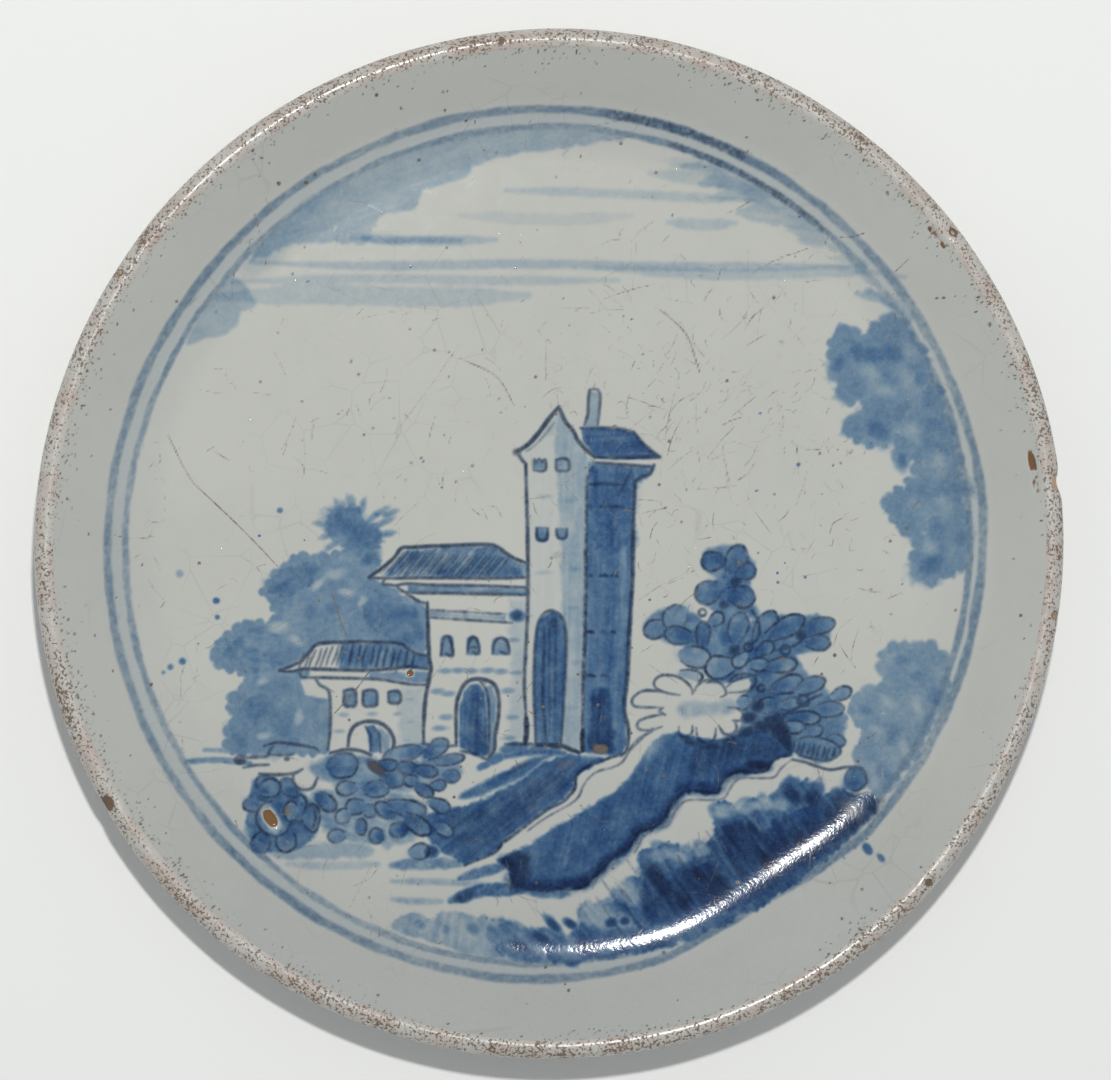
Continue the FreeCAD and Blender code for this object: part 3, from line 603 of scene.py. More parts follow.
@dataclass
class Landscape:
    """The painter's landscape: a tower, a house and a gatehouse among trees, over banks and leaves."""

    c: Canvas

    def paint(self) -> None:
        """Lay every part of the picture, back to front, and let it run."""
        for part in (self.sky, self.far_trees, self.left_tree, self.gatehouse, self.house, self.tower,
                self.banks, self.ground):
            part()
        for part in (self.foliage, self.shrub, self.flower, self.bush, self.rings):
            part()
        self.c.settle(0.14)
        self.wear()

    def sky(self) -> None:
        """Broad washes of pale blue, left partly bare for clouds."""
        c = self.c
        upper = way(-66, 62.5, -60, 64.5, -56, 66, -48, 66.3, -40, 66.5, -38, 72, -30, 74, -28, 78, -20, 80)
        upper += way(-16, 84, -8, 86, 0, 87, 10, 88.5, 18, 90, 8, 91.6, -10, 91.4, -30, 87, -48, 78.6, -60,
            69.8)
        c.wash(upper, 0.22, soft=0.5, ragged=0.6, rim=0.25, streak=(20, 0.16))
        c.blot(-62, 65, 6, 2.8, 0.14, 45, crisp=0.7, add=True)
        c.blot(-53, 74.4, 8, 2.4, 0.12, 38, crisp=0.7, add=True)
        c.wash(way(-80, 44, -76, 45, -72, 46, -69, 48, -68, 51, -65, 53, -70, 58.5, -76, 51.5), 0.2,
            soft=0.5, rim=0.3)
        right = way(27, 87.2, 33, 84.6, 29, 83.4, 36, 82.2, 33, 79.4, 39, 78.6, 36, 76.4, 45, 75.6, 41, 73,
            50, 70.6, 54, 69)
        right += way(56, 66.6, 64, 65, 70, 62.4, 70, 60, 73, 57.4, 70, 56.6, 74, 54, 78, 51.6, 80.6, 47.4,
            81.6, 42.6)
        right += way(76, 50.5, 66, 63, 54, 73.8, 40, 82)
        c.wash(right, 0.14, soft=0.5, ragged=0.7, rim=0.15, streak=(-6, 0.3))
        for k in range(15):
            x, y = 30 + 3.1 * k, 85.4 - 1.55 * k - 0.06 * (k - 4) ** 2
            c.stroke([(x - 5 - 2 * math.sin(k * 2.1), y + 0.4), (x, y), (x + 6, y - 0.8)], 1.5,
                0.06 + 0.04 * math.sin(k * 1.7), Coat.COBALT, soft=0.5, taper=(0.3, 0.6), add=True)
        c.wash(way(76, 45, 85, 36, 87, 28, 84, 24, 80, 33, 74, 40), 0.26, soft=0.9, ragged=0.8)
        streaks = ((way(-44, 67.6, -30, 66.8, -12, 67.1), 2.2, 0.17), (way(-66, 61.9, -40, 61.2, -6, 61.8,
            30, 61.3, 70, 61.6), 2.0, 0.17), (way(-70, 57.6, -40, 58.4, -10, 58.1, 15, 58.3), 2.0, 0.12),
            (way(-73, 54.2, -50, 54.9, -28, 54.4, -5, 54.8), 4.4, 0.12),
            (way(-10, 78, 15, 77.4, 45, 76), 2.0, 0.12), (way(26, 71.2, 34, 70.6, 41, 71), 2.4, 0.12),
            (way(10, 61, 40, 59.6, 66, 60.4, 78, 59), 2.4, 0.12), (way(22, 82, 40, 79.6, 50, 74), 3.0,
            0.10), (way(-20, 72.4, 2, 71.6, 18, 72.6), 2.6, 0.06), (way(68, 55.6, 75, 54, 80, 50), 2.4,
            0.22))
        for route, width, depth in streaks:
            c.stroke(route, width, depth, Coat.COBALT, soft=0.5, taper=(0.4, 0.4), patchy=0.3, add=True)
        c.stroke(way(-41, 67.3, -36, 66.7, -28, 67, -20, 66.9), 1.4, 0.24, Coat.COBALT, soft=0.5,
            patchy=0.3, add=True)
        c.blot(-54, 68.6, 4.5, 1.5, 0.1, 20, crisp=0.6, add=True)

    def far_trees(self) -> None:
        """Trees at the right, against the ring."""
        c = self.c
        body = way(62.4, 45, 64, 48, 67.4, 47.6, 70.4, 45.8, 73, 49, 76.4, 50.6, 79.6, 47.4, 84, 38, 87.6,
            29, 90, 20)
        body += way(91.4, 8, 91.8, -3, 88.6, -6, 84.8, -8, 81.4, -6, 81.4, -1.4, 83.4, 4, 80, 2, 77, 3.6,
            75.4, 8)
        body += way(78, 12, 82.8, 17.6, 80, 19.6, 78.2, 17.4, 76.8, 19.6, 77, 24.6, 73, 21.6, 68, 23, 65.8,
            26.4, 71.4, 32)
        body += way(67, 31.6, 63.6, 34.6, 65, 38, 61.8, 40)
        c.canopy(body, 0.5, 2.5)
        c.lobes(0.54, (65.1, 45.8, 2.6), (75.9, 47.4, 3.0), (66.8, 34.6, 3.4), (67.4, 26.4, 2.6),
            (76.8, 8.8, 2.5), (79.4, 4.4, 2.4), crisp=2.2)
        c.lobes(0.82, (63.9, 40, 2.2), (71.5, 42, 3.2), (75.4, 42.4, 3.2), (68, 42.8, 2.6),
            (72.4, 25.6, 3.4), (78, 18.8, 1.6), (84.6, -4.4, 3.4))
        c.lobes(0.64, (84, 32, 2.8), (82, 37, 2.4), (90, 12.6, 2.8), (91, 1.5, 2.6), (82.4, 12.4, 2.6),
            (85, 26.6, 3.2), (78, 30, 2.6), (86, 4, 2.8))
        for x, y, a, b, turn in ((70.6, 38, 2.6, 1.3, -30), (79, 36.4, 2.8, 1.4, -60),
                (80.4, 25, 2.6, 1.4, -60), (74.4, 34, 2.6, 1.2, -20), (86.4, 18, 2.6, 1.5, -70),
                (84, -0.5, 1.6, 1.0, -60), (88, 8, 2.0, 1.2, -60), (80, 42.6, 2.4, 1.4, -50)):
            c.blot(x, y, a, b, 0.3, turn, lift=True, crisp=0.6)
        low = way(73.4, -24, 76.6, -21.8, 80, -22.8, 84, -22, 88.2, -26, 87.2, -33, 84.2, -40, 79.2, -48,
            73.4, -55.4, 70, -53)
        low += way(67.6, -48, 70.4, -43, 67, -39, 66.4, -35, 70.4, -32.6, 74, -31, 74.4, -27.4)
        c.canopy(low, 0.42, 2.3)
        c.lobes(0.62, (85, -33.5, 2.8), (76, -42, 3), (74, -50.5, 2.6), (81.5, -29, 2.2), (70, -36.6, 2.2),
            (78, -25.6, 2.2))
        for x, y, a, b, turn in ((74.6, -34.6, 2.2, 1.0, -40), (81.4, -36.4, 1.8, 1.0, -70),
                (72.4, -41, 1.8, 0.9, -30), (78.6, -45.6, 2, 0.9, -60)):
            c.blot(x, y, a, b, 0.4, turn, lift=True, crisp=0.7)

    def left_tree(self) -> None:
        """A pale tree behind the gatehouse, with dark touches."""
        c = self.c
        mass = way(-63.6, -10, -61, -7, -57.6, -3.4, -55.2, -1.6, -52, -3, -48, -2, -44, -1, -40, -3, -38,
            -7, -36, -9.6)
        mass += way(-31, -12, -28, -14, -28, -25, -33, -24, -52, -23, -56, -26, -54, -31, -49, -34, -49,
            -45, -60, -46)
        mass += way(-70.8, -45.6, -71, -40.6, -68.6, -38.6, -71.4, -35.6, -67.4, -31.6, -68, -28.4, -73.4,
            -26.4, -73.8, -22)
        mass += way(-70, -19, -65, -17, -60.6, -17.2, -61.4, -13.6)
        c.canopy(mass, 0.5, 1.9)
        c.wash(way(-40, -9, -31, -12.6, -28.4, -14.6, -28.4, -22, -38, -21, -42, -16), 0.66, soft=1.2,
            ragged=0.8, mottle=0.3)
        c.wash(way(-63, -10, -56, -3, -51, -4, -52, -9, -58, -12), 0.62, soft=1.0, ragged=0.8, mottle=0.3,
            streak=(30, 0.3))
        c.wash(way(-73, -24, -66, -18, -60, -19, -58, -26, -66, -28), 0.66, soft=1.0, ragged=0.8,
            mottle=0.3, streak=(-10, 0.3))
        c.wash(way(-71, -41, -66, -33, -58, -33, -55, -44, -66, -46), 0.6, soft=1.4, ragged=0.8, mottle=0.3)
        crown = way(-49, 6, -46, 8.4, -42.6, 8, -40, 5, -37.4, 4.4, -38, 0, -38, -5, -43, -3, -46, 0, -49.6,
            2)
        c.wash(crown, 0.66, soft=0.6, ragged=1.0, mottle=0.3)
        c.lobes(0.88, (-45, 4.2, 3.2), (-42.4, 1.6, 2.6), (-40, -3, 2.0), (-46.6, 6, 2.0))
        dabs = ((-48, 7, 150, 4), (-50, 4.4, 170, 4.4), (-49, 2, 200, 4), (-46.6, 8.4, 120, 3.6),
            (-43.6, 9, 95, 3.4), (-41.4, 8.4, 75, 3.6), (-38.6, 6.4, 40, 4.4), (-36.6, 5, 25, 5),
            (-36, 2.4, 10, 4), (-37, 7.4, 30, 3.4), (-48.4, -0.4, 215, 3.4), (-35, 7, 20, 3),
            (-38.4, 1, -10, 3.4), (-44.4, 9.8, 110, 2.4))
        for x, y, turn, reach in dabs:
            u, v = math.cos(math.radians(turn)), math.sin(math.radians(turn))
            c.stroke([(x - u * reach * 0.5, y - v * reach * 0.5), (x, y),
                (x + u * reach * 0.5, y + v * reach * 0.5)], 1.3, 0.5, Coat.COBALT, soft=0.5,
                taper=(1.0, 0.4), fade=(1.2, 0.6))
        c.lobes(0.7, (-65.3, -23.3, 1.7), (-57, -10, 2.0), (-53, -15, 2.2), (-70, -24, 2),
            (-61, -25.5, 1.8), (-58, -41, 2), (-48, -14, 2.2))
        c.lobes(0.6, (-68, -41.5, 2), (-66, -35.4, 1.8), (-60.4, -9.4, 1.8), (-61.4, -38.6, 1.6),
            (-42.5, -15.5, 2.2), (-36, -13, 2), (-32, -16, 2))
        for x, y, a, b, turn in ((-47.5, -6.5, 2.1, 1.1, 10), (-45, -10.5, 1.6, 0.9, -20),
                (-60, -18, 2.2, 1.2, 15), (-56, -21, 1.6, 0.9, -35), (-63.4, -30, 1.4, 0.8, 20),
                (-63, -42, 1.5, 0.8, 10), (-51, -8.6, 1.6, 0.7, 40), (-55.4, -38, 1.7, 0.9, 80),
                (-41.5, -12.5, 1.4, 0.8, 60)):
            c.blot(x, y, a, b, 0.6, turn, lift=True, crisp=0.8)
        c.stroke(way(-80, -47.5, -73, -47.2, -66, -48), 1.3, 0.5, Coat.COBALT, patchy=0.5)
        c.stroke(way(-76, -45, -64, -45.4, -50, -45), 1.2, 0.3, Coat.COBALT, patchy=0.6)
        for x, y, radius, depth in ((-73.5, -12.3, 0.7, 0.9), (-73.2, -15.9, 0.5, 0.8),
                (-80.8, -25.6, 0.7, 0.9), (-83.5, -26.8, 0.6, 0.7), (-85, -28, 0.4, 0.6),
                (-59.5, 7.5, 0.6, 0.7), (-81.5, -6.4, 0.8, 0.3)):
            c.blot(x, y, radius, radius, depth, crisp=1.5)

    def window(self, x0: float, y0: float, x1: float, y1: float, fill: float, kind: str = "box") -> None:
        """A window: a patch of blue in a drawn frame.

        Args:
            x0: left.
            y0: foot.
            x1: right.
            y1: head.
            fill: depth of the blue inside.
            kind: box, arch, cup (open at its head) or peak.
        """
        c = self.c
        mid = (x0 + x1) / 2
        c.wash([(x0, y0), (x0, y1), (mid, y1 + 0.3), (x1, y1), (x1, y0), (mid, y0 - 0.2)], fill, soft=0.3,
            ragged=0.15, mottle=0.3)
        frames = {"box": [(x0, y1), (mid, y1 + 0.3), (x1, y1 - 0.1), (x1 + 0.1, y0), (mid, y0 - 0.3),
            (x0, y0), (x0 - 0.1, y1)], "arch": [(x0, y0), (x0 + 0.1, y1 - 0.8), (mid, y1 + 0.2),
            (x1 - 0.1, y1 - 0.7), (x1, y0)], "cup": [(x0, y1), (x0 + 0.1, y0 + 0.7), (mid, y0 - 0.1),
            (x1 - 0.2, y0 + 0.6), (x1, y1)], "peak": [(x0, y0), (x0 + 0.5, y1 - 0.6), (mid, y1 + 0.3),
            (x1 - 0.4, y1 - 0.6), (x1, y0), (mid, y0 + 0.3)],}
        c.line(frames[kind], w=0.75, d=1.2, patchy=0.4)

    def gatehouse(self) -> None:
        """The low gatehouse at the left."""
        c = self.c
        walls = way(-55, -30, -54, -33, -49, -34, -48.6, -40, -49, -45, -36, -46, -28, -45, -27.4, -30, -27,
            -26, -40, -25)
        c.wash(walls, 0, lift=0.97, soft=0.3, ragged=0.1, straight=True)
        roof = way(-59.6, -27.6, -56.8, -26.6, -54.8, -25.6, -53, -23.6, -51, -21.8, -44, -21.4, -39.6,
            -21.4, -33.2, -21.8)
        roof += way(-31.6, -22.8, -29.6, -24, -27.2, -24.4)
        c.wash(roof + way(-27, -27.4, -46, -27.5), 0, lift=0.97, soft=0.3, ragged=0.1, straight=True)
        c.wash(way(-46, -21.6, -40, -21.6, -33.2, -22, -29.6, -24, -27.2, -24.6, -27, -27.2, -40, -27.3,
            -46.5, -27.2), 0.68, soft=0.5, ragged=0.4, mottle=0.3, streak=(70, 0.3), straight=True)
        c.hatch((-54.2, -23.8), (-45.4, -21.8), (-1.6, -4.4), 8, 0.42, 0.9)
        c.hatch((-43.4, -21.8), (-30, -23.6), (-1.0, -4.6), 10, 0.45, 1.1)
        c.line(roof, w=0.85, d=1.4)
        c.line(way(-59.6, -27.7, -57, -27.8, -54, -27.3, -46, -27.5, -39.6, -27.6, -34, -27.2, -31.6, -26.8,
            -26.8, -27.4), w=0.8)
        c.line(way(-55, -27.6, -54.8, -29, -50, -29.2, -46, -29.3, -38, -29.6, -34, -30.2, -30, -30.8,
            -26.8, -30.8), w=0.7, d=1.2)
        c.wash(way(-40, -28, -27, -28, -27, -30.4, -34, -29.9, -40, -29.4), 0.5, soft=0.4, straight=True)
        c.line(way(-51.6, -29.6, -50.8, -30.8, -49.2, -31.7, -48.6, -33.4, -48.5, -40, -49, -45), w=0.8,
            d=1.2)
        self.window(-45.4, -35.2, -43, -32.1, 0.55)
        self.window(-41.2, -35.2, -38.4, -32.2, 0.6)
        self.window(-35.6, -34.6, -33.2, -32.4, 0.5)
        arch = way(-44.6, -44.4, -44.2, -41.6, -42.8, -39.6, -39.8, -38.8, -36.8, -39.6, -34.8, -42, -34.6,
            -44.4, -36, -46.8)
        c.wash(way(-40.8, -40, -39, -39.4, -37.6, -42, -37.4, -45.6, -39.6, -45.4, -40, -42.4), 0.7,
            soft=0.35, straight=True)
        c.wash(way(-38, -39.8, -35.4, -42, -35.2, -45.6, -37.2, -46, -37.4, -42), 0.35, soft=0.4,
            straight=True)
        c.line(arch, w=0.95, d=1.3)
        c.line(way(-40.8, -40, -40, -41.2, -39.6, -42.4, -39.6, -45.2), w=0.6, d=1.0)
        c.line(way(-39, -40, -38, -41, -37.6, -42, -37.4, -45.6), w=0.6, d=1.0)
        for x, y in ((-45.6, -37.4), (-39.4, -37.2), (-33.6, -37.2), (-31, -34), (-30.8, -39), (-46.6, -41),
                (-31.6, -43)):
            c.blot(x, y, 1.1, 0.45, 0.25, 2, crisp=0.8)
        c.wash(way(-33, -31.4, -28, -31.4, -28, -45, -33.4, -46), 0.13, soft=0.8, ragged=0.6, straight=True)

    def house(self) -> None:
        """The long house in the middle."""
        c = self.c
        roof = way(-40, -7.2, -37.2, -5.2, -34.4, -2.8, -32.8, -0.8, -30, -0.6, -22, -0.2, -14, 0, -11.6,
            -0.6, -10, -1.8)
        roof += way(-7.6, -3.2, -4.9, -4.2)
        plan = way(-32.8, -1, -12, -0.4, -4.9, -4.4, -5, -44, -13, -48, -28, -43.6, -27.4, -34, -26.6, -27,
            -27.2, -13, -33, -10)
        c.wash(plan + way(-37, -8.6, -39.6, -7.2), 0, lift=0.97, soft=0.3, ragged=0.1, straight=True)
        fill = way(-32, -1.4, -22, -0.5, -14, -0.3, -11.6, -0.9, -7.6, -3.5, -5, -4.5, -5, -7.1, -16, -7.1,
            -37, -7)
        c.wash(fill, 0.62, soft=0.4, ragged=0.4, mottle=0.35, streak=(52, 0.42), straight=True)
        c.wash(way(-17, -1.2, -12, -1.4, -6.4, -4.6, -6, -7, -20, -7), 0.74, soft=0.7, ragged=0.6,
            streak=(52, 0.3), straight=True)
        c.hatch((-33.4, -1.6), (-9.2, -2.8), (-4.0, -4.8), 25, 0.4, 0.85)
        c.hatch((-31, -0.9), (-12, -0.8), (-4.6, -5.6), 11, 0.5, 0.4)
        c.blot(-24, -6, 1.6, 0.9, 0.95, 10)
        c.blot(-7.8, -5.8, 1.5, 1.1, 0.95, -20)
        c.line(roof, w=0.95, d=1.5)
        c.line(way(-40, -7.2, -36.4, -7.4, -26, -7.3, -14, -7.4, -5, -7.3), w=0.8, d=1.3)
        c.wash(way(-31.6, -8.9, -18, -9.2, -5.2, -9.6, -5.2, -11, -20, -10.6, -31.6, -10.4), 0.55,
            soft=0.35, ragged=0.3, mottle=0.3, streak=(0, 0.35), straight=True)
        c.line(way(-36.4, -7.4, -37, -8.6, -35.6, -8.8, -34, -9, -31.6, -8.6, -26, -8.9, -18, -9, -5.2,
            -9.4), w=0.75, d=1.2)
        c.line(way(-34, -9, -33.2, -9.8, -31.6, -10.5, -22, -10.7, -5.2, -11.1), w=0.75, d=1.2)
        c.line(way(-32.8, -10, -30.8, -11.4, -29.2, -12.4, -27.6, -12.9), w=0.7, d=1.2)
        wall = way(-27.2, -12.8, -27, -19.2, -26.8, -24.8, -26.4, -27.2, -26.8, -29.6, -27.6, -34, -28, -40,
            -28, -43.4)
        c.line(wall, w=1.0, d=1.4)
        c.line(way(-26.8, -14.4, -16, -15, -9.8, -15.3), w=0.65, d=0.9, patchy=0.7)
        c.line(way(-26.8, -16, -18, -16.6, -8.4, -17.2), w=0.65, d=0.9, patchy=0.7)
        c.blot(-7.4, -15.6, 1.6, 1.5, 0.9, crisp=1.3)
        c.blot(-7.4, -15.6, 0.9, 0.9, 0.8, coat=Coat.LINE)
        c.wash(way(-26.4, -14.8, -10, -15.7, -10, -16.7, -26.4, -15.7), 0.32, soft=0.3, straight=True,
            mottle=0.5)
        self.window(-24.2, -24.4, -21.6, -20.4, 0.55, "peak")
        self.window(-18.4, -24.0, -15.8, -20.6, 0.6, "peak")
        c.line(way(-18.2, -22.8, -17.1, -22.5, -16, -22.8), w=0.5, d=0.9)
        self.window(-12.8, -24.0, -9.2, -20.8, 0.5, "peak")
        for x, y in ((-23.2, -27.8), (-20.3, -27.7), (-17.4, -27.8), (-13.9, -27.7), (-11, -27.9),
                (-25, -32.3), (-23, -38), (-24.4, -40.4), (-9.4, -32.2), (-8.2, -38), (-24.6, -43),
                (-9, -42.6), (-7.4, -28.2), (-22.6, -32.8), (-8, -21)):
            c.blot(x, y, 1.5, 0.6, 0.4, 2, crisp=0.8)
        c.wash(way(-9, -12, -5.4, -12, -5.8, -30, -5.6, -43, -9.6, -43, -8.6, -30), 0.13, soft=0.9,
            ragged=0.6, straight=True)
        outer = way(-20.8, -44.2, -20.8, -36, -20.2, -33.2, -19, -30.8, -17.6, -29.8, -15.6, -29.6, -13.2,
            -30.2, -12, -31.6)
        outer += way(-11.4, -34.4, -11.6, -38.4, -12.2, -42, -12.4, -45.2, -14, -47.2)
        fill = way(-20, -44.4, -20, -36, -19, -32.4, -17.6, -31, -16, -30.8, -14.6, -32.6, -14.2, -36, -14,
            -46.4, -17, -46.4)
        c.wash(way(-14.6, -31.4, -13, -31, -12, -34, -12.4, -45, -13.8, -46.6, -13.8, -36), 0.5, soft=0.3,
            ragged=0.2, straight=True)
        c.wash(fill, 1.0, soft=0.35, ragged=0.2, mottle=0.25, streak=(88, 0.3), straight=True)
        c.wash(way(-18.4, -45, -18, -36, -16.6, -33, -15.2, -36, -15.2, -46), 0.25, Coat.LINE, soft=0.6,
            ragged=0.4, straight=True, streak=(88, 0.4))
        c.line(outer, w=0.95, d=1.4)
        c.line(way(-15.4, -30.2, -14.4, -31.6, -13.8, -34, -13.6, -40, -13.8, -45.8), w=0.8, d=1.2)
        c.line(way(-28.4, -43.8, -24, -44.4, -20.8, -44.2), w=0.8, d=1.0)
        c.line(way(-19.8, -45.4, -17, -46, -13.8, -47.4), w=0.8, d=1.1)

    def tower(self) -> None:
        """The tall tower with a tiled roof, its side in shade."""
        c = self.c
        plan = way(1.8, 30.3, -7.5, 20.5, -5.5, 17.8, -5.2, 3, -5.2, -20, -5.6, -43.6, 4, -45, 16, -46.4,
            17, -38, 17.6, -18)
        c.wash(plan + way(18.6, 13.6, 22.6, 17.4, 24, 19.5, 18, 25, 6, 26), 0, lift=1.0, soft=0.25,
            ragged=0.1, straight=True)
        c.wash(plan[:7] + way(7, -45.4, 7.6, 12, 9.6, 19, 6, 23.4), 0.03, soft=0.5, ragged=0.4,
            straight=True, streak=(88, 0.4))
        shade = way(1.8, 28.6, 3.6, 25.6, 8.4, 19.8, 8, 15, 7.6, 8, 7.5, -10, 7, -30, 6.8, -45, 2.6, -44.4,
            3, -32)
        shade += way(3.2, -24, 2.6, -15, 2.2, 0, 1.4, 14, 0.6, 20)
        c.wash(shade, 0.24, soft=0.7, ragged=0.5, mottle=0.25, streak=(89, 0.35), straight=True)
        c.blot(0.2, 25.8, 1.6, 2.6, 0.14, -35, crisp=0.7)
        roof = way(6.8, 25.6, 10.7, 25.7, 15, 25.5, 18.3, 24.8, 20, 22.7, 22, 20.8, 24, 19.4, 18, 19, 10.2,
            19.1, 7.4, 22.6)
        c.wash(roof, 1.06, soft=0.3, ragged=0.25, mottle=0.14, rim=0.12, streak=(4, 0.2), straight=True)
        for x, y in ((7.9, 23), (11, 21.5), (15, 20.7), (18.6, 22.8)):
            c.blot(x, y, 1.6, 1.0, 0.14, 20, crisp=0.8, add=True)
        c.wash(way(8.5, 33.9, 8.3, 29, 7.5, 26, 10.4, 26, 10.8, 30, 10.9, 33.4), 0.28, soft=0.3, ragged=0.2,
            straight=True)
        c.line(way(8.6, 34.1, 8.3, 31, 8.3, 29, 7.5, 26.4), w=0.75, d=1.2)
        c.line(way(8.5, 34, 9.8, 34.3, 10.9, 33.4, 10.8, 30, 10.4, 26.2), w=0.65, d=1.0)
        side = way(9.3, 17.8, 14, 17.5, 19, 17.1, 22.4, 16.6, 20, 15, 18.7, 14, 18.2, 5, 18, -10, 17.2, -25,
            16.9, -30)
        side += way(16.4, -36, 16.8, -44, 15.6, -46.2, 7.2, -45.6, 7.3, -30, 7.8, -10, 7.9, 10, 8.4, 15)
        c.wash(side, 0.8, soft=0.3, ragged=0.2, mottle=0.16, streak=(89, 0.22), straight=True)
        c.wash(way(9, 17.6, 22, 16.4, 18.6, 13.8, 18, 0, 13, -3, 8.2, -1), 1.02, soft=1.6, ragged=1.0,
            mottle=0.16, straight=True, streak=(89, 0.16))
        c.wash(way(12.2, 12, 14, 12, 14.2, -10, 13.6, -30, 12, -30, 12.4, -8), 0.14, soft=0.8, ragged=0.5,
            straight=True, add=True)
        c.wash(way(15.4, 4, 17, 4, 16.9, -16, 16.2, -28, 15, -28, 15.6, -12), 0, lift=0.2, soft=0.7,
            ragged=0.4, straight=True)
        c.wash(way(9.2, -30.6, 13.4, -31, 14.4, -38, 15, -46, 8, -45.8, 8.2, -38), 1.26, soft=1.1,
            ragged=0.7, straight=True, streak=(88, 0.2))
        c.wash(way(9.8, -33, 12.6, -33, 13, -39, 14, -45.8, 8.4, -45.6, 9, -39), 0.42, Coat.LINE, soft=1.0,
            ragged=0.6, straight=True, streak=(88, 0.5))
        c.blot(11, -45, 1.6, 1.2, 0.8, coat=Coat.LINE, add=True)
        c.blot(11, -45, 1.7, 1.1, 0.7, coat=Coat.STAIN)
        dashes = ((13.3, 8.8, 15.3), (8.4, 8, 9), (8.4, 11, 12), (8.4, 13, 16), (-6.9, 8.5, 9),
            (-6.9, 11, 12.4), (-6.9, 13.2, 14.7), (-19.3, 8, 9.5), (-19.3, 11.2, 12), (-19.3, 13.4, 14.1),
            (-28.9, 8, 9.7), (-28.9, 11.3, 12.1))
        for y, x0, x1 in dashes:
            c.stroke([(x0, y), ((x0 + x1) / 2, y + 0.15), (x1, y - 0.1)], 0.75, 0.75, Coat.LINE, patchy=0.5,
                body=1.2)
        c.line(way(18, 16.5, 16.4, 13.6, 15, 11), w=0.9, d=0.6, patchy=0.6)
        left = way(-5.5, 17.8, -5.3, 10, -5.1, 3, -5, -10, -5.3, -20, -5.8, -30, -5.4, -38.5)
        c.line(left, w=0.95, d=1.25, patchy=0.45)
        c.line(way(-5.4, -38.2, -5.3, -41, -5.6, -43.8), w=1.3, d=2.0)
        corner = way(9.3, 17, 8.2, 15.2, 7.9, 10, 7.8, 0, 7.7, -10, 7.5, -20, 7.2, -30, 7, -41)
        c.line(corner, w=0.95, d=1.05, patchy=0.8)
        c.line(way(7.1, -40.6, 7, -43, 7, -45.5), w=1.1, d=2.0)
        right = way(18.7, 14, 18.3, 5, 18.2, -5, 18, -10, 17.5, -18, 17.2, -25, 16.9, -30, 16.3, -35, 16.6,
            -38, 17.2, -41)
        c.line(right + way(16.9, -45, 15.6, -46.5), w=1.05, d=1.3, patchy=0.45)
        c.wash(way(9.6, 18.2, 15, 18.2, 21, 17.9, 22.4, 18.9, 15, 18.9, 10, 19), 0, lift=0.95, soft=0.2,
            ragged=0.1, straight=True)
        c.line(way(10.2, 19.2, 15, 19, 20, 19.1, 24.2, 19.2), w=0.7, d=1.2)
        c.line(way(9.6, 18.1, 15, 17.7, 20, 17.3, 22.6, 17.2, 22.9, 17.6), w=0.8, d=1.3)
        c.line(way(22.6, 16.9, 22, 15.6, 20, 14.8, 18.7, 14), w=0.9, d=1.3)
        c.line(way(18.3, 24.9, 20, 22.8, 22, 20.9, 24.2, 19.3), w=0.85, d=1.2)
        c.line(way(6.6, 25.7, 10.7, 25.8, 15, 25.6, 18.4, 24.9), w=0.75, d=1.0)
        c.line(way(1.8, 30.3, 0, 28.2, -2.3, 25, -5, 22, -7.5, 20.5), w=1.1, d=1.5)
        c.blot(-7.4, 20.4, 1.0, 0.9, 1.0, coat=Coat.LINE, crisp=1.5)
        c.line(way(-7.2, 20, -6.4, 18.8, -5.5, 17.8), w=0.85, d=1.2)
        c.line(way(1.8, 30.3, 3.2, 27.2, 5, 25, 6, 23, 8, 20.8, 9.8, 19.2), w=1.1, d=1.4)
        c.line(way(0.8, 26.8, -1.6, 23.8, -4, 21.4, -5.4, 20.6), w=0.55, d=0.5, patchy=0.7)
        c.line(way(-3.7, 16.4, -3.6, 18.7, -3.1, 18.3, -2.5, 18.8, -1.9, 18.3, -1.2, 18.7, -1.1, 16.5, -2.4,
            16.2, -3.7, 16.4), w=0.7, d=1.2)
        c.wash(way(-3.5, 16.5, -3.5, 18.4, -1.3, 18.4, -1.3, 16.5), 0.55, soft=0.3, straight=True,
            mottle=0.3)
        self.window(1.3, 16.5, 3.9, 18.7, 0.42, "box")
        self.window(-3.1, 0.9, -0.6, 3.6, 0.6, "cup")
        self.window(1.3, 1.3, 3.7, 3.5, 0.5, "cup")
        for x, y, reach in ((-1.4, 10.6, 1.6), (4.4, 9.8, 1.4), (-1.6, -6.2, 1.8), (5, -5.4, 1.2),
                (5, -14, 1.2), (5.4, -26, 1.0), (5, -36, 1.0)):
            c.blot(x, y, reach, 0.5, 0.12, 4, crisp=0.7, add=True)
        c.blot(1.7, -2.3, 1.5, 0.9, 0.3, 10, Coat.STAIN)
        c.blot(14, 26, 0.7, 0.35, 0.8, 30, Coat.STAIN)
        c.blot(26.3, 22.8, 0.5, 0.4, 0.8, 0, Coat.STAIN)
        door = way(-3.3, -43.8, -3.75, -30, -3.4, -22, -3, -18.4, -2.5, -16.6, 0.5, -14.6, 2.5, -15.9, 3.3,
            -18.8, 3.4, -25)
        door += way(3, -33, 2.7, -39.4, 2.3, -44)
        c.wash(door, 0.92, soft=0.3, ragged=0.12, mottle=0.2, streak=(89, 0.22), straight=True)
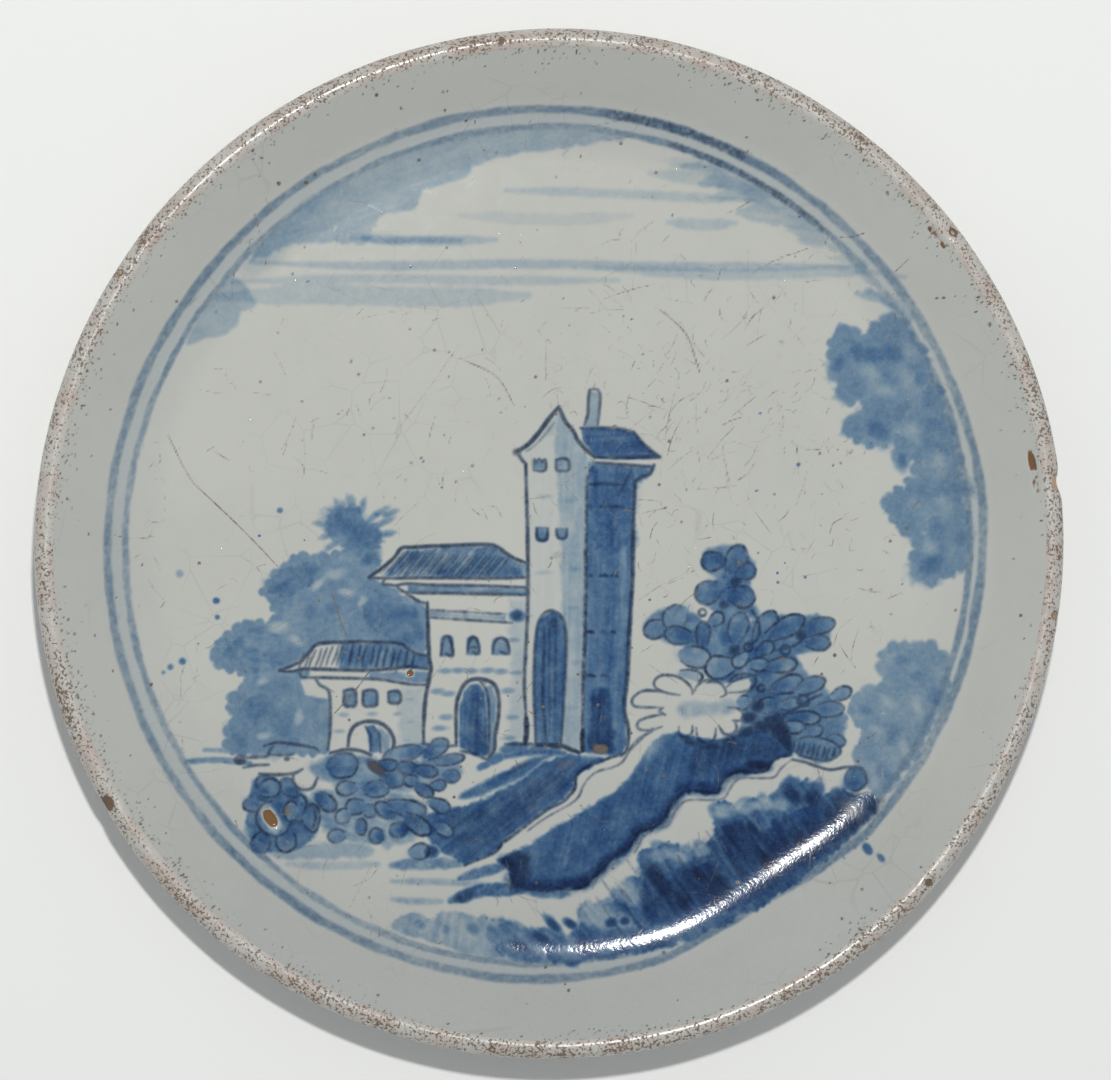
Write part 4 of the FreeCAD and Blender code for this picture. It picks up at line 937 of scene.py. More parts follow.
        c.line(way(-3.3, -43.8, -3.6, -36, -3.75, -30, -3.4, -22, -3, -18.4, -2.5, -16.6, -1.2, -15, 0.5,
            -14.6, 2.5, -15.9, 3.3, -18.8, 3.4, -25, 3, -33, 2.7, -39.4, 2.3, -44), w=0.8, d=1.1)
        c.line(way(-1.4, -18, -1.6, -26, -1.7, -34, -1, -43), w=0.75, d=0.7, patchy=0.6)
        c.line(way(-0.3, -17, -0.3, -28, -0.2, -42), w=0.65, d=0.55, patchy=0.6)
        c.line(way(1.2, -17, 1.1, -26, 0.9, -36), w=0.7, d=0.6, patchy=0.6)
        c.blot(0.7, -17.4, 1.0, 1.6, 0.5, coat=Coat.LINE)
        c.line(way(-10, -43.9, -5.9, -43.9, -3, -44), w=0.8, d=1.1)
        c.line(way(-3, -44, 0, -44.2, 2.5, -44.4, 4, -45, 6.3, -45.8), w=1.15, d=1.7)

    def banks(self) -> None:
        """The two banks of the stream below the tower."""
        c = self.c
        near = way(-30, -61.4, -29.4, -59.6, -20, -57.6, -12, -54.6, -5, -50.6, 1, -47, 6, -46.6, 11.6,
            -47.2, 9, -48.6, 6.8, -49.8)
        near += way(5.2, -51.6, 5, -53.6, 2.4, -56.6, -3, -59.8, -9, -64.2, -12, -67.4, -19, -70, -24,
            -67.4, -27, -64)
        c.wash(near, 0.98, soft=0.5, ragged=0.6, mottle=0.16, streak=(38, 0.26))
        c.wash(way(-24, -62, -14, -57, -4, -52, 3, -50.4, 3, -54, -4, -58.6, -10, -63.4, -18, -66.4), 0.32,
            Coat.LINE, soft=1.6, ragged=1.0, streak=(38, 0.7))
        c.wash(way(-20, -55.6, -15, -52.4, -9, -49.4, -4, -47, 0, -46, -3, -49, -9, -52.4, -15, -55), 0.86,
            soft=0.6, ragged=0.4)
        c.blot(-11, -51.4, 3.4, 1.0, 0.3, 30, add=True)
        c.blot(-6.6, -48.6, 2.4, 0.7, 0.3, 28, Coat.LINE, add=True)
        for x, y, radius in ((-12, -47.2, 1.3), (-9, -44.8, 1.4), (-6.6, -44.9, 1.2), (-3, -45.1, 1.3),
                (0.4, -45.6, 1.2), (-14.6, -48.6, 1.0)):
            c.blot(x, y, radius * 1.7, radius * 0.8, 0.78, 24, crisp=1.2)
        c.stroke(way(-10, -46.6, -4, -45.6, 3, -46), 1.4, 0.9, Coat.COBALT, soft=0.5)
        c.blot(3, -48.6, 2.2, 1.1, 0.3, 20, Coat.STAIN)
        middle = way(27, -41.6, 23, -43.4, 20, -47.5, 17.5, -51.6, 13.6, -54.8, 8, -57.8, 2, -61.8, -5,
            -66.3, -11.6, -69.2)
        middle += way(-9.4, -71, -9, -73.4, -8, -75.4, -3, -76.2, 1.5, -76, 7.4, -75.4, 9.4, -74, 11.8,
            -71.6, 14.4, -69.2)
        middle += way(17.4, -67.2, 18.8, -65.2, 20, -63.6, 24.6, -61.8, 26, -59.6, 28.4, -56, 31, -54.8, 37,
            -55, 37.8, -53)
        middle += way(40, -51, 45, -50.3, 48, -49.9, 50, -47.4, 53, -46.4, 51, -42, 46, -40.6, 42, -41.6,
            36, -43, 31, -42)
        c.wash(middle, 1.08, soft=0.5, ragged=0.6, mottle=0.16, streak=(76, 0.2))
        for x, y, a, b, turn in ((22.4, -44.6, 3.6, 1.7, 44), (17.6, -49.4, 3.0, 1.2, 48),
                (12, -54.6, 3.4, 1.0, 32), (5, -59, 4, 0.9, 34), (-3, -64, 4, 0.8, 34)):
            c.blot(x, y, a, b, 0.55, turn, lift=True, crisp=0.6)
        edge = way(-10.4, -69.4, -8.4, -71.6, -8.8, -74.6, -3, -75.4, 3, -75.2, 7.6, -74.4, 12, -70.8, 17.2,
            -66.6, 20, -63, 24.6, -61)
        edge += way(27.4, -56.6, 30, -53.8, 36.6, -54, 38.6, -51.6, 44, -49.6, 48, -49)
        c.stroke(edge, 3.2, 0.34, Coat.COBALT, soft=1.0, patchy=0.6, add=True)
        c.stroke(edge, 2.4, 0.5, Coat.LINE, soft=0.9, patchy=0.9, body=0)
        c.wash(way(-10.6, -69.4, -6, -68, -4.6, -71, -5.6, -75.6, -8.6, -75.4, -9.4, -72), 1.0, Coat.LINE,
            soft=0.9, ragged=0.8)
        c.wash(way(34, -44, 44, -42.6, 51, -42, 51.6, -46.4, 48.4, -47.8, 42, -47.4, 36, -49, 31, -50.6),
            0.42, Coat.LINE, soft=1.8, ragged=1.2, streak=(72, 0.5))
        a = way(15.5, -46.3, 12, -47.4, 9, -48.6, 7, -49.6, 5.6, -51.4, 5.4, -53.6, 4.4, -55, 2.8, -56.6, 0,
            -58, -3, -60)
        a += way(-5, -61.6, -9, -64.6, -10.5, -65.6, -11.5, -67, -12.6, -68, -15, -69, -19, -70.6)
        c.line(a, w=0.75, d=1.3, patchy=0.5)
        b = way(25, -38, 22, -41, 20, -43, 17.5, -45.5, 15.8, -48, 13.5, -49.2, 10.4, -50, 8.4, -51.5, 7.2,
            -53.2)
        c.line(b + way(6.3, -55.4, 4.6, -57, 1, -59, -2, -60.8, -5, -63), w=0.5, d=0.8, patchy=0.7)
        low = way(53, -46.6, 50.5, -47, 48.5, -48.6, 48, -49.8, 45, -50.3, 42, -50, 39.5, -51, 37.6, -53,
            37, -54.8, 34, -54.6)
        low += way(30, -54.4, 28, -55.8, 26.6, -57.5, 25.6, -59.6, 24.6, -61.4, 22, -62.6, 19.5, -63.4,
            18.4, -65, 17, -67)
        low += way(14, -69, 11.5, -71.4, 9, -73.8, 7.4, -75.2, 4, -76, 1.5, -75.6)
        c.line(low, w=0.85, d=1.5, patchy=0.5)
        rim = way(53.5, -47.5, 51, -49.5, 49.5, -51.4, 46, -51.6, 42, -51.6, 40, -53.4, 38.6, -55.8, 36,
            -56.4, 30.5, -56.4)
        rim += way(28.2, -58, 27, -60, 26, -62, 23, -63, 20.5, -64.4, 19.6, -66.2, 18.6, -68)
        c.line(rim, w=0.5, d=0.8, patchy=0.6)
        c.line(way(53.5, -47.5, 56, -48, 59, -49, 62, -49.8, 66, -49.2, 69, -49.6, 70, -51.5, 69.4, -53.8),
            w=0.7, d=1.2)
        c.blot(46, -48.7, 2.6, 1.1, 1.3, -6, Coat.LINE)
        c.blot(46, -48.7, 2.8, 1.3, 1.0, -6)

    def ground(self) -> None:
        """Loose strokes on the ground at the lower left."""
        c = self.c
        for route, width, depth in ((way(-35, -70.5, -28, -70.1, -20, -70.2), 2.5, 0.5),
                (way(-20, -73.5, -15, -72, -10, -70.8), 2.2, 0.7), (way(-22, -78.3, -18.6, -77.2, -15, -76,
                -6, -76), 2.8, 0.95), (way(-6, -76, -1, -76.8, 4, -77), 2.0, 0.6),
                (way(-35, -74, -24, -74.2, -12, -75), 1.4, 0.25), (way(-35, -78, -30, -78.4, -24, -78.5),
                1.4, 0.25), (way(-58, -70, -48, -70.6, -38, -70.2), 1.8, 0.14)):
            c.stroke(route, width, depth, Coat.COBALT, soft=0.5, taper=(0.5, 0.6), patchy=0.4)
        c.blot(-19, -77.4, 2.2, 1.1, 0.7, 20, Coat.LINE, crisp=0.8)

    def foliage(self) -> None:
        """The dark bushes of the foreground, streaked down to the right."""
        c = self.c
        mass = way(36, -61, 35.4, -58, 38, -57, 41, -58, 43, -56.4, 46, -55.6, 49, -56.8, 50.4, -53, 54,
            -51.8, 58, -52.6, 60.6, -55)
        mass += way(64, -54.4, 68, -55, 72.4, -56.2, 70, -61, 62.4, -68, 52, -76, 40, -83, 28, -88, 12,
            -91.4, 0, -92.2)
        mass += way(-1, -88, 3, -86, 6, -83.6, 7, -79.6, 11, -79, 14, -77.6, 17, -74.6, 20, -71.6, 19.6,
            -68, 23, -66.4)
        mass += way(27, -66, 30, -67.6, 34, -66, 36.6, -63.6)
        c.wash(mass, 0.94, soft=0.5, ragged=0.9, mottle=0.24, streak=(-55, 0.3))
        c.lobes(0.9, (54, -54.4, 2.6), (58.4, -54.8, 2.4), (50.6, -56, 1.9), (64, -56.4, 2.0),
            (21.6, -70.6, 2.2), (18.6, -75, 2.2), (70.4, -57.4, 2.0), crisp=1.8)
        c.lobes(0.5, (37.6, -59.2, 2.3), (42.6, -58.4, 2.5), (47, -57.6, 2.1), (25, -67.8, 2.5),
            (29.6, -68.6, 2.0), (33.4, -67.6, 2.0), (12.6, -80.2, 2.4), (8.4, -81.6, 2.4), (15.6, -78, 2.3),
            crisp=1.9)
        c.wash(way(37, -62, 42, -61, 47, -62.4, 52, -59, 58, -58, 70, -60, 62, -67, 50, -76, 38, -82, 22,
            -84, 20, -75, 25, -72, 32, -70, 37, -66), 1.2, soft=1.2, ragged=1.2, mottle=0.2,
            streak=(-55, 0.26))
        c.wash(way(38, -63, 50, -63, 62, -60, 66, -63, 50, -75, 36, -80, 22, -81, 21, -75, 30, -72), 0.42,
            Coat.LINE, soft=2.4, ragged=1.4, streak=(-55, 0.9))
        c.wash(way(62, -55, 68, -56, 73, -56, 70.6, -61, 64, -66.4, 60, -64), 0.7, Coat.LINE, soft=1.2,
            ragged=1.2, mottle=0.5)
        c.blot(67, -58.6, 3.4, 1.6, 0.3, -40, Coat.STAIN, crisp=0.5)
        for x, y, a, b, turn, share in ((38.4, -58.8, 2.6, 1.7, 10, 0.62), (43.2, -58, 2.4, 1.6, 0, 0.62),
                (47.4, -57.4, 2.0, 1.5, 0, 0.6), (51, -57.4, 1.8, 1.4, -30, 0.55),
                (24.4, -68.4, 2.8, 1.5, 14, 0.6), (29, -69, 2.2, 1.3, -10, 0.55),
                (33.6, -67.6, 1.8, 1.3, 20, 0.55), (17.6, -76.6, 3.2, 2.1, -60, 0.62),
                (10.4, -81.8, 4.6, 2.8, -24, 0.64), (3.6, -87, 2.8, 1.4, -30, 0.5),
                (16, -83, 2.4, 1.4, -50, 0.4), (4, -90.4, 4, 1.2, -8, 0.4)):
            c.blot(x, y, a, b, share, turn, crisp=1.1, lift=True)
            c.blot(x, y, a, b, share, turn, Coat.LINE, crisp=1.1, lift=True)
        for k in range(46):
            x, y = 12 + 1.25 * k, -80.5 + 0.47 * k + 4.6 * math.sin(k * 2.3)
            reach = 3.4 + 1.4 * math.sin(k * 1.3)
            c.stroke([(x - reach * 0.57, y + reach * 0.82), (x, y), (x + reach * 0.57, y - reach * 0.82)],
                0.45, 0.5, Coat.LINE, soft=0.3, patchy=0.9)
        for x, y, a, b in ((22.4, -72.6, 2.4, 2.0), (25, -75.6, 3.0, 1.7), (29, -79, 2.4, 1.8),
                (40, -64.4, 2.6, 1.6), (44.6, -62.6, 2.4, 1.2), (37, -75, 3.4, 1.8), (56, -66, 3.4, 1.8),
                (53.6, -55.4, 2.6, 1.7), (57.8, -56.4, 2.4, 1.7), (33, -73, 2, 1.2), (48, -70, 3.4, 1.6)):
            c.blot(x, y, a, b, 1.35, -50, crisp=0.8)
            c.blot(x, y, a * 0.9, b * 0.9, 0.62, -50, Coat.LINE, crisp=0.8, add=True)
        for x, y, a, b, turn in ((0.6, -83.8, 2.4, 1.0, -48), (4.4, -83.6, 1.6, 0.9, -30),
                (13.4, -83.4, 1.5, 1.2, 0), (16.4, -83, 1.2, 1.0, 0), (8, -88.4, 3, 1.2, -20),
                (-2, -86.6, 3, 1.1, -30), (-7, -88.4, 3, 1.3, -24), (20, -86.6, 3, 1.4, -20)):
            c.blot(x, y, a, b, 1.15, turn, crisp=0.9)
            c.blot(x, y, a * 0.7, b * 0.7, 0.4, turn, Coat.LINE, crisp=0.8)
        c.leaf(67.5, -52, 5, 4.6, 40, 0.8, 0.3, ((64, -55),))
        pale = way(-35, -84.4, -33, -81.6, -29, -81.2, -26, -82.6, -24, -80.8, -19, -81, -16.6, -82.4, -14,
            -81.6, -12, -84)
        pale += way(-9, -86, -8, -90.6, -16, -90.4, -26, -87.4)
        c.wash(pale, 0.3, soft=0.5, ragged=0.5, mottle=0.35, rim=0.2, streak=(80, 0.3))
        c.wash(way(-14, -84, -10, -82.4, -5, -84.6, 2, -85, 4, -91.4, -8, -91.6, -13, -89), 0.74, soft=0.9,
            ragged=0.8, mottle=0.35, streak=(-40, 0.3))
        c.lobes(0.6, (-29, -83.4, 1.3), (-23, -84.6, 1.2), (-17, -84.4, 1.6), (-13, -86.4, 1.6))
        c.blot(69.8, -67, 0.9, 1.4, 0.9, 30, crisp=1.4)
        c.blot(72.5, -69, 0.7, 1.1, 0.7, 30, crisp=1.4)

    def flower(self) -> None:
        """A white flower at the foot of the tower, drawn in grey."""
        c = self.c
        head = way(18.6, -33.6, 23, -29.6, 28, -29, 33, -30.4, 39, -30.6, 44, -29.6, 44, -32, 41, -34.6,
            42.4, -38, 40, -41)
        c.wash(head + way(35.6, -42.6, 30, -41.6, 24, -40.4, 19.6, -40.4, 20, -37.6), 0, lift=0.96,
            soft=0.3, ragged=0.15)
        c.wash(head + way(35.6, -42.6, 30, -41.6, 24, -40.4, 19.6, -40.4, 20, -37.6), 0, Coat.LINE,
            lift=0.98, soft=0.3, ragged=0.15)
        c.wash(way(28, -36, 31, -34.4, 36, -35, 39.6, -34, 41.4, -35.6, 38, -37.6, 33, -37.8, 29.6, -38.4),
            0.26, soft=0.9, mottle=0.5)
        petals = (way(31.4, -33, 31, -31.4, 28.5, -29.3, 24.9, -28.8, 23, -30, 23.3, -31.7, 26, -32.8, 28.6,
            -33.2), way(31.6, -32.6, 33, -30.6, 35.5, -29.8, 38, -31, 38.9, -33, 37.5, -33.7),
            way(39, -31.4, 41.5, -29.6, 45, -29, 45.2, -31, 43, -32.4, 39.5, -32.7),
            way(27.4, -33, 23.5, -32.3, 20.3, -32.3, 18.1, -34, 18.5, -35.6, 21.5, -35.9, 25, -36),
            way(25.2, -37.4, 21.5, -38.1, 19.3, -39.2, 19.4, -40.6, 22, -41, 24.6, -40.2),
            way(28.4, -40.2, 28.4, -41.8, 29.7, -42.5, 31.2, -41.6, 31.4, -40),
            way(32.2, -40.4, 32.6, -42.8, 34.4, -43.8, 36.2, -42.8, 36.6, -40.6),
            way(37.2, -40, 38.4, -41.8, 40.2, -41.8, 41.2, -40.4, 40.6, -38.8),
            way(39.2, -36, 41.4, -36.2, 42.6, -37.4, 42, -38.8, 40.2, -38.8),
            way(25, -36, 24, -36.8, 25.4, -37.6))
        for route in petals:
            c.stroke(route, 0.55, 0.95, soft=0.22, taper=(0.5, 0.5), patchy=0.6, body=0.25)
        c.line(way(16.9, -46, 18.4, -44, 20, -42.5, 22.5, -41.2), w=0.6, d=0.9, patchy=0.5)

    def shrub(self) -> None:
        """A flowering shrub right of the tower."""
        c = self.c
        leaves = ((36, -3.6, 4.4, 3.6, 10, 0.85, 0.3), (41, -3.5, 6, 3.8, 65, 0.8, 0.2),
            (43.3, -6, 3.6, 3, 20, 0.9, 0.3), (35, -10.5, 5.2, 4.2, 20, 0.8, 0.3),
            (42, -11.5, 5.4, 4, -15, 0.85, 0.3), (36.7, -16.5, 3, 2.4, 40, 0.6, 0.0),
            (33.8, -20, 5, 2.6, 88, 0.85, 0.0), (41.5, -18.5, 6, 3.6, 70, 0.75, 0.2),
            (23.5, -18.5, 5, 3.4, 15, 0.75, 0.0), (27.7, -16, 5, 4.4, 30, 0.65, 0.0),
            (28.5, -20, 5.5, 3.2, -10, 0.85, 0.3), (31.8, -24.8, 6, 4, -10, 0.5, 0.0),
            (37.5, -27, 5.5, 4.4, 10, 0.52, 0.0), (42, -25.5, 3.4, 2.6, 40, 0.3, 0.0),
            (46, -26.5, 3.6, 2.6, 0, 0.6, 0.0), (43, -30.5, 6, 3.4, 10, 0.72, 0.2),
            (47.5, -18.5, 7, 3.8, 60, 0.8, 0.2), (52, -18.5, 8, 3.6, 28, 0.85, 0.2),
            (59.5, -18, 6, 3, 12, 0.8, 0.0), (59, -21.7, 5, 2.8, -6, 0.72, 0.2),
            (51, -26.7, 6, 2.8, 6, 0.72, 0.3), (52.5, -31, 6, 3.4, 20, 0.7, 0.3),
            (57.5, -31.2, 6, 2.8, 20, 0.66, 0.0), (61.5, -36.5, 6, 2.8, 4, 0.72, 0.0),
            (56.5, -38.3, 5.5, 2.6, -4, 0.7, 0.6), (48, -35.5, 4, 2.8, 20, 0.75, 0.3),
            (53, -35.2, 4.2, 2.2, 10, 0.7, 0.0), (53.5, -40.4, 5, 2.4, 0, 0.75, 0.2),
            (58, -41.3, 4, 2.4, 12, 0.66, 0.0), (63, -43.4, 4, 2.4, -10, 0.6, 0.0),
            (47.6, -23, 3.4, 2.4, 30, 0.8, 0.3), (36.4, -31.4, 4.6, 2.6, 20, 0.45, 0.0),
            (31, -29, 4.4, 2.4, -10, 0.3, 0.0), (42, -35, 4.4, 2.8, 15, 0.6, 0.0),
            (36.6, -36.8, 5, 2.8, 10, 0.5, 0.0), (64.4, -33, 4, 2.4, 20, 0.5, 0.0))
        roots = ((40, -8.4), (31, -20.5), (38.5, -20), (45.6, -22.4), (46, -27), (48.6, -35), (50.5, -40))
        c.wash(way(34, -2, 36.4, -0.6, 41, 0, 44, -2.6, 45.2, -6, 44, -9, 45, -12, 43, -15.6, 38.6, -17,
            34.4, -13, 33.4, -9.6, 36.4, -7.6, 34, -5), 0.58, soft=0.6, ragged=0.5, mottle=0.3)
        c.wash(way(20.6, -19, 21.4, -16.6, 25, -14.2, 29, -14.6, 33, -16, 33, -20.6, 30, -22.4, 25, -21.4),
            0.6, soft=0.6, mottle=0.3)
        c.wash(way(34, -18, 38, -15.6, 44, -17, 47, -15.4, 52, -15.6, 56, -15.4, 62, -16.6, 62, -19, 60.4,
            -23, 54.6, -24.4, 56.4, -28, 60, -31, 63, -34, 65.4, -38, 65, -42, 63.6, -46, 60, -48.4, 55,
            -46.6, 51, -43, 46, -38.6, 42, -36, 38, -31, 34, -28.6, 32, -26, 29, -24, 30, -21), 0.66,
            soft=0.6, ragged=0.5, mottle=0.3)
        c.lobes(0.98, (45, -23.4, 3.2), (47, -27.6, 3), (47, -33, 3.4), (50, -38, 3), (40.5, -8, 2.4),
            (38.6, -20.6, 2.2), (54, -38.6, 2.4))
        for x, y, long, wide, turn, fill, heart in leaves:
            c.leaf(x, y, long * 1.12, wide * 1.12, turn, fill, heart, roots)
        c.leaf(58.5, -45, 11, 4.6, -10, 0.72, 0.0, roots)
        c.hatch((54, -43.6), (63, -45.2), (-0.6, -2.4), 9, 0.55, 1.0)
        c.lobes(0.95, (41, -8.3, 1.7), (38, -12.4, 1.5), (40.8, -23.3, 1.8), (55.5, -20, 1.6),
            (44.4, -14.6, 1.2), (38.6, -7, 1.1))
        for x, y, radius in ((41, -8.3, 1.1), (40.8, -23.3, 1.3), (55.5, -20, 1.2), (38.4, -13.4, 0.9),
                (50.2, -38.6, 1.5)):
            c.blot(x, y, radius, radius * 0.9, 0.9, 20, Coat.LINE)
        for x, y, radius in ((43.7, -22.7, 0.9), (52, -23.3, 1.1), (56, -34.5, 1.3), (46.6, -31.8, 0.8),
                (33.6, -15, 0.8)):
            ring = [(x + radius * math.cos(a), y + radius * math.sin(a)) for a in (0.2, 1.5, 2.8, 4.1, 5.4)]
            c.stroke(ring, 0.5, 1.2, closed=True)
        c.line(way(44.6, -14.6, 46, -17, 46, -20.4, 43.7, -22.7), w=0.7, d=1.1)
        c.line(way(49.6, -23.4, 54, -22.4, 56.6, -20), w=0.7, d=1.1)
        c.line(way(50, -38, 53, -37, 58, -34, 60, -33.2), w=0.7, d=1.1)
        for x, y, a, b, turn in ((43.4, -41.4, 2.2, 1.0, 20), (47, -40.2, 2.4, 1.3, -10),
                (31, -43.6, 1.6, 0.7, -20), (35.6, -44.6, 2.2, 0.8, 0), (39.6, -43.2, 1.6, 0.8, 30),
                (46, -35.6, 1.6, 1.2, 40), (44, -38.2, 1.6, 1.2, 10)):
            c.blot(x, y, a, b, 1.0, turn, Coat.LINE, crisp=0.7)
            c.blot(x, y, a * 1.2, b * 1.2, 1.0, turn, crisp=0.7)
        c.wash(way(47, -38.2, 50.6, -38.6, 53, -41, 53.4, -46.6, 51, -44, 48.6, -41.4), 1.1, Coat.LINE,
            soft=0.5, ragged=0.4)
        c.wash(way(47, -38.2, 50.6, -38.6, 53, -41, 53.4, -46.6, 51, -44, 48.6, -41.4), 1.0, soft=0.5,
            ragged=0.4)

    def bush(self) -> None:
        """The leafy growth across the lower left, under a white hillock."""
        c = self.c
        c.line(way(-63, -44.2, -60, -43.4, -56, -43.9, -52, -44.6, -51, -45.4), w=0.7, d=1.1)
        c.line(way(-62.2, -46, -59, -46.2, -56.5, -46), w=0.6, d=0.9)
        c.line(way(-67, -46.8, -64, -46.6, -62.2, -46.4, -61.8, -45.2, -61, -44.2), w=0.7, d=1.1)
        c.blot(-68.3, -47.2, 1.3, 1.1, 1.2, 0, Coat.LINE, crisp=1.4)
        c.line(way(-67.5, -48.9, -65, -48.4, -62, -48.3), w=0.7, d=1.0)
        c.line(way(-64, -50.3, -60, -50.5, -56.5, -50.2, -54.6, -49.3), w=0.8, d=1.2)
        c.line(way(-56.6, -50.5, -56.6, -52, -55.6, -53.4, -54, -53.8, -52.4, -53.4, -51.3, -51.2), w=0.75,
            d=1.2)
        c.blot(-58, -47, 0.6, 0.5, 1.2, 0, Coat.LINE, crisp=1.4)
        clump = way(-64.6, -51, -60, -51.6, -54, -55, -51, -58, -52, -64, -57, -67.4, -63.6, -67, -66.6,
            -62, -66, -55)
        c.wash(clump, 0.74, soft=0.5, ragged=0.5, mottle=0.3)
        for x, y, long, wide, turn in ((-62, -52.6, 5.4, 3.6, 160), (-57.6, -53.4, 4.6, 3, 120),
                (-63.6, -65.2, 5, 3.8, 235), (-58.2, -64.8, 5, 4, 262), (-55.6, -58, 4, 5.4, 0),
                (-52.6, -60, 3.4, 6, 0), (-65, -57, 3, 5, 90), (-60.8, -60, 7, 7.4, 240)):
            c.leaf(x, y, long, wide, turn, 0.8, 0.25, ((-59.6, -56),))
        c.lobes(1.0, (-64.9, -63.4, 1.2), (-60, -55.2, 1.6), (-56, -55.4, 1.5), (-57.4, -61.8, 1.2),
            (-54.4, -57.2, 1.1))
        c.lobes(0.4, (-61.4, -60, 2.6))
        c.lobes(0.85, (-64.5, -63, 1.7), (-63, -65.4, 2), (-58.3, -64.8, 2), (-60.4, -56.6, 1.5),
            (-54.6, -62.6, 1.6), (-64.6, -57, 1.2))
        c.wash(way(-49, -46.6, -43, -46.2, -42.6, -50.6, -48, -51.4), 0.9, soft=0.8, ragged=0.6, mottle=0.2)
        c.wash(way(-53, -48.4, -44, -46.4, -32, -47.6, -22, -46.4, -20, -51, -30, -54, -44, -53.6, -51,
            -51), 0.42, soft=0.8, ragged=0.7, mottle=0.3, streak=(4, 0.3))
        c.wash(way(-52, -55, -44, -54, -30, -55, -27, -60, -32, -66, -42, -65.4, -50, -62), 0.36, soft=0.8,
            ragged=0.8, mottle=0.35, streak=(-20, 0.3))
        c.wash(way(-60, -66.6, -50, -65.4, -40, -66, -40, -68.6, -52, -69, -60, -68.8), 0.25, soft=0.7,
            ragged=0.6)
        leaves = ((-62, -53.5, 4.5, 3.2, 10, 0.85, 0.3), (-57, -58.5, 2.6, 3.7, 0, 0.6, 0.0),
            (-53, -60, 2.2, 4, 0, 0.8, 0.0), (-49.5, -56.5, 4.6, 2.8, -40, 0.85, 0.3),
            (-46, -48.5, 6, 4.6, 5, 0.9, 0.2), (-32.3, -46, 8, 3, 12, 0.6, 0.5),
            (-25.3, -45, 5.5, 2.8, 35, 0.8, 0.3), (-22.5, -47.4, 6, 1.8, 10, 0.7, 0.0),
            (-36, -48.5, 4.2, 2.2, 0, 0.8, 0.3), (-31.6, -49, 4, 2.2, -8, 0.85, 0.4),
            (-27.4, -49.8, 4.2, 2.2, -10, 0.8, 0.4), (-34.4, -51.6, 4, 3, 10, 0.9, 0.5),
            (-30.6, -51.8, 3, 2.2, 0, 0.8, 0.0), (-22, -51, 3.4, 2.2, 0, 0.7, 0.0),
            (-24.8, -53, 3, 2, 10, 0.8, 0.0), (-28, -54, 4, 2.2, -30, 0.8, 0.0),
            (-44.8, -53.5, 4, 2.6, 5, 0.6, 0.0), (-38.5, -53.7, 5, 3, 0, 0.72, 0.6),
            (-42.8, -57.5, 4, 3, 10, 0.6, 0.0), (-39.8, -58.5, 2.6, 2.4, 0, 0.8, 0.0),
            (-36.3, -58.5, 4.6, 2.6, -35, 0.85, 0.3), (-31.8, -58, 7.5, 3.2, -10, 0.75, 0.2),
            (-41.8, -62, 2.2, 3, 0, 0.85, 0.0), (-38.3, -64, 2.8, 2.9, 0, 0.8, 0.5),
            (-33.3, -62.7, 3.8, 2.8, 10, 0.95, 0.6), (-29.5, -61.5, 6, 3, -35, 0.8, 0.2),
            (-29, -67.5, 4, 2.8, 10, 0.6, 0.0), (-45.6, -59.6, 3.2, 2.6, 30, 0.5, 0.0),
            (-47, -64, 3.4, 2.4, 0, 0.55, 0.0), (-24.6, -57.4, 4.4, 2.4, -25, 0.7, 0.0),
            (-23.6, -62.6, 4, 2.4, -30, 0.7, 0.2))
        roots = ((-61.5, -58.5), (-56, -55), (-48, -50), (-41, -49.5), (-36, -49.6), (-30, -49),
            (-42, -54.5), (-34, -56))
        for x, y, long, wide, turn, fill, heart in leaves:
            c.leaf(x, y, long * 1.1, wide * 1.15, turn, fill, heart, roots)
        c.line(way(-48.5, -45.8, -45, -45, -42, -45.3, -39.5, -46.2), w=0.85, d=1.3)
        for coat, depth in ((Coat.LINE, 1.4), (Coat.COBALT, 1.0), (Coat.STAIN, 0.4)):
            c.blot(-38.5, -49, 2.4, 1.1, depth, -40, coat)
        c.blot(-57.8, -58.3, 0.8, 1.0, 0.6, 0, Coat.STAIN)
        c.blot(-26.3, -67.5, 1.8, 1.5, 0.95, 10, crisp=1.2)
        c.blot(-26.3, -67.5, 1.1, 0.9, 0.6, 10, Coat.LINE)

    def rings(self) -> None:
        """The two bands round the picture, run on a turning wheel by hand."""
        c = self.c
        x, y = c.axis[None, :], c.axis[:, None]
        r, a = np.hypot(x, y), np.arctan2(y, x)
        turn = np.degrees(a) % 360

        def course(*marks: tuple[float, float]) -> np.ndarray:
            """How far out a band runs at every angle, from the angles and radii of some marks."""
            at, size = zip(*marks)
            at, size = np.array(at), np.array(size)
            return np.interp(turn, np.append(at, 360 + at[0]), np.append(size, size[0]))

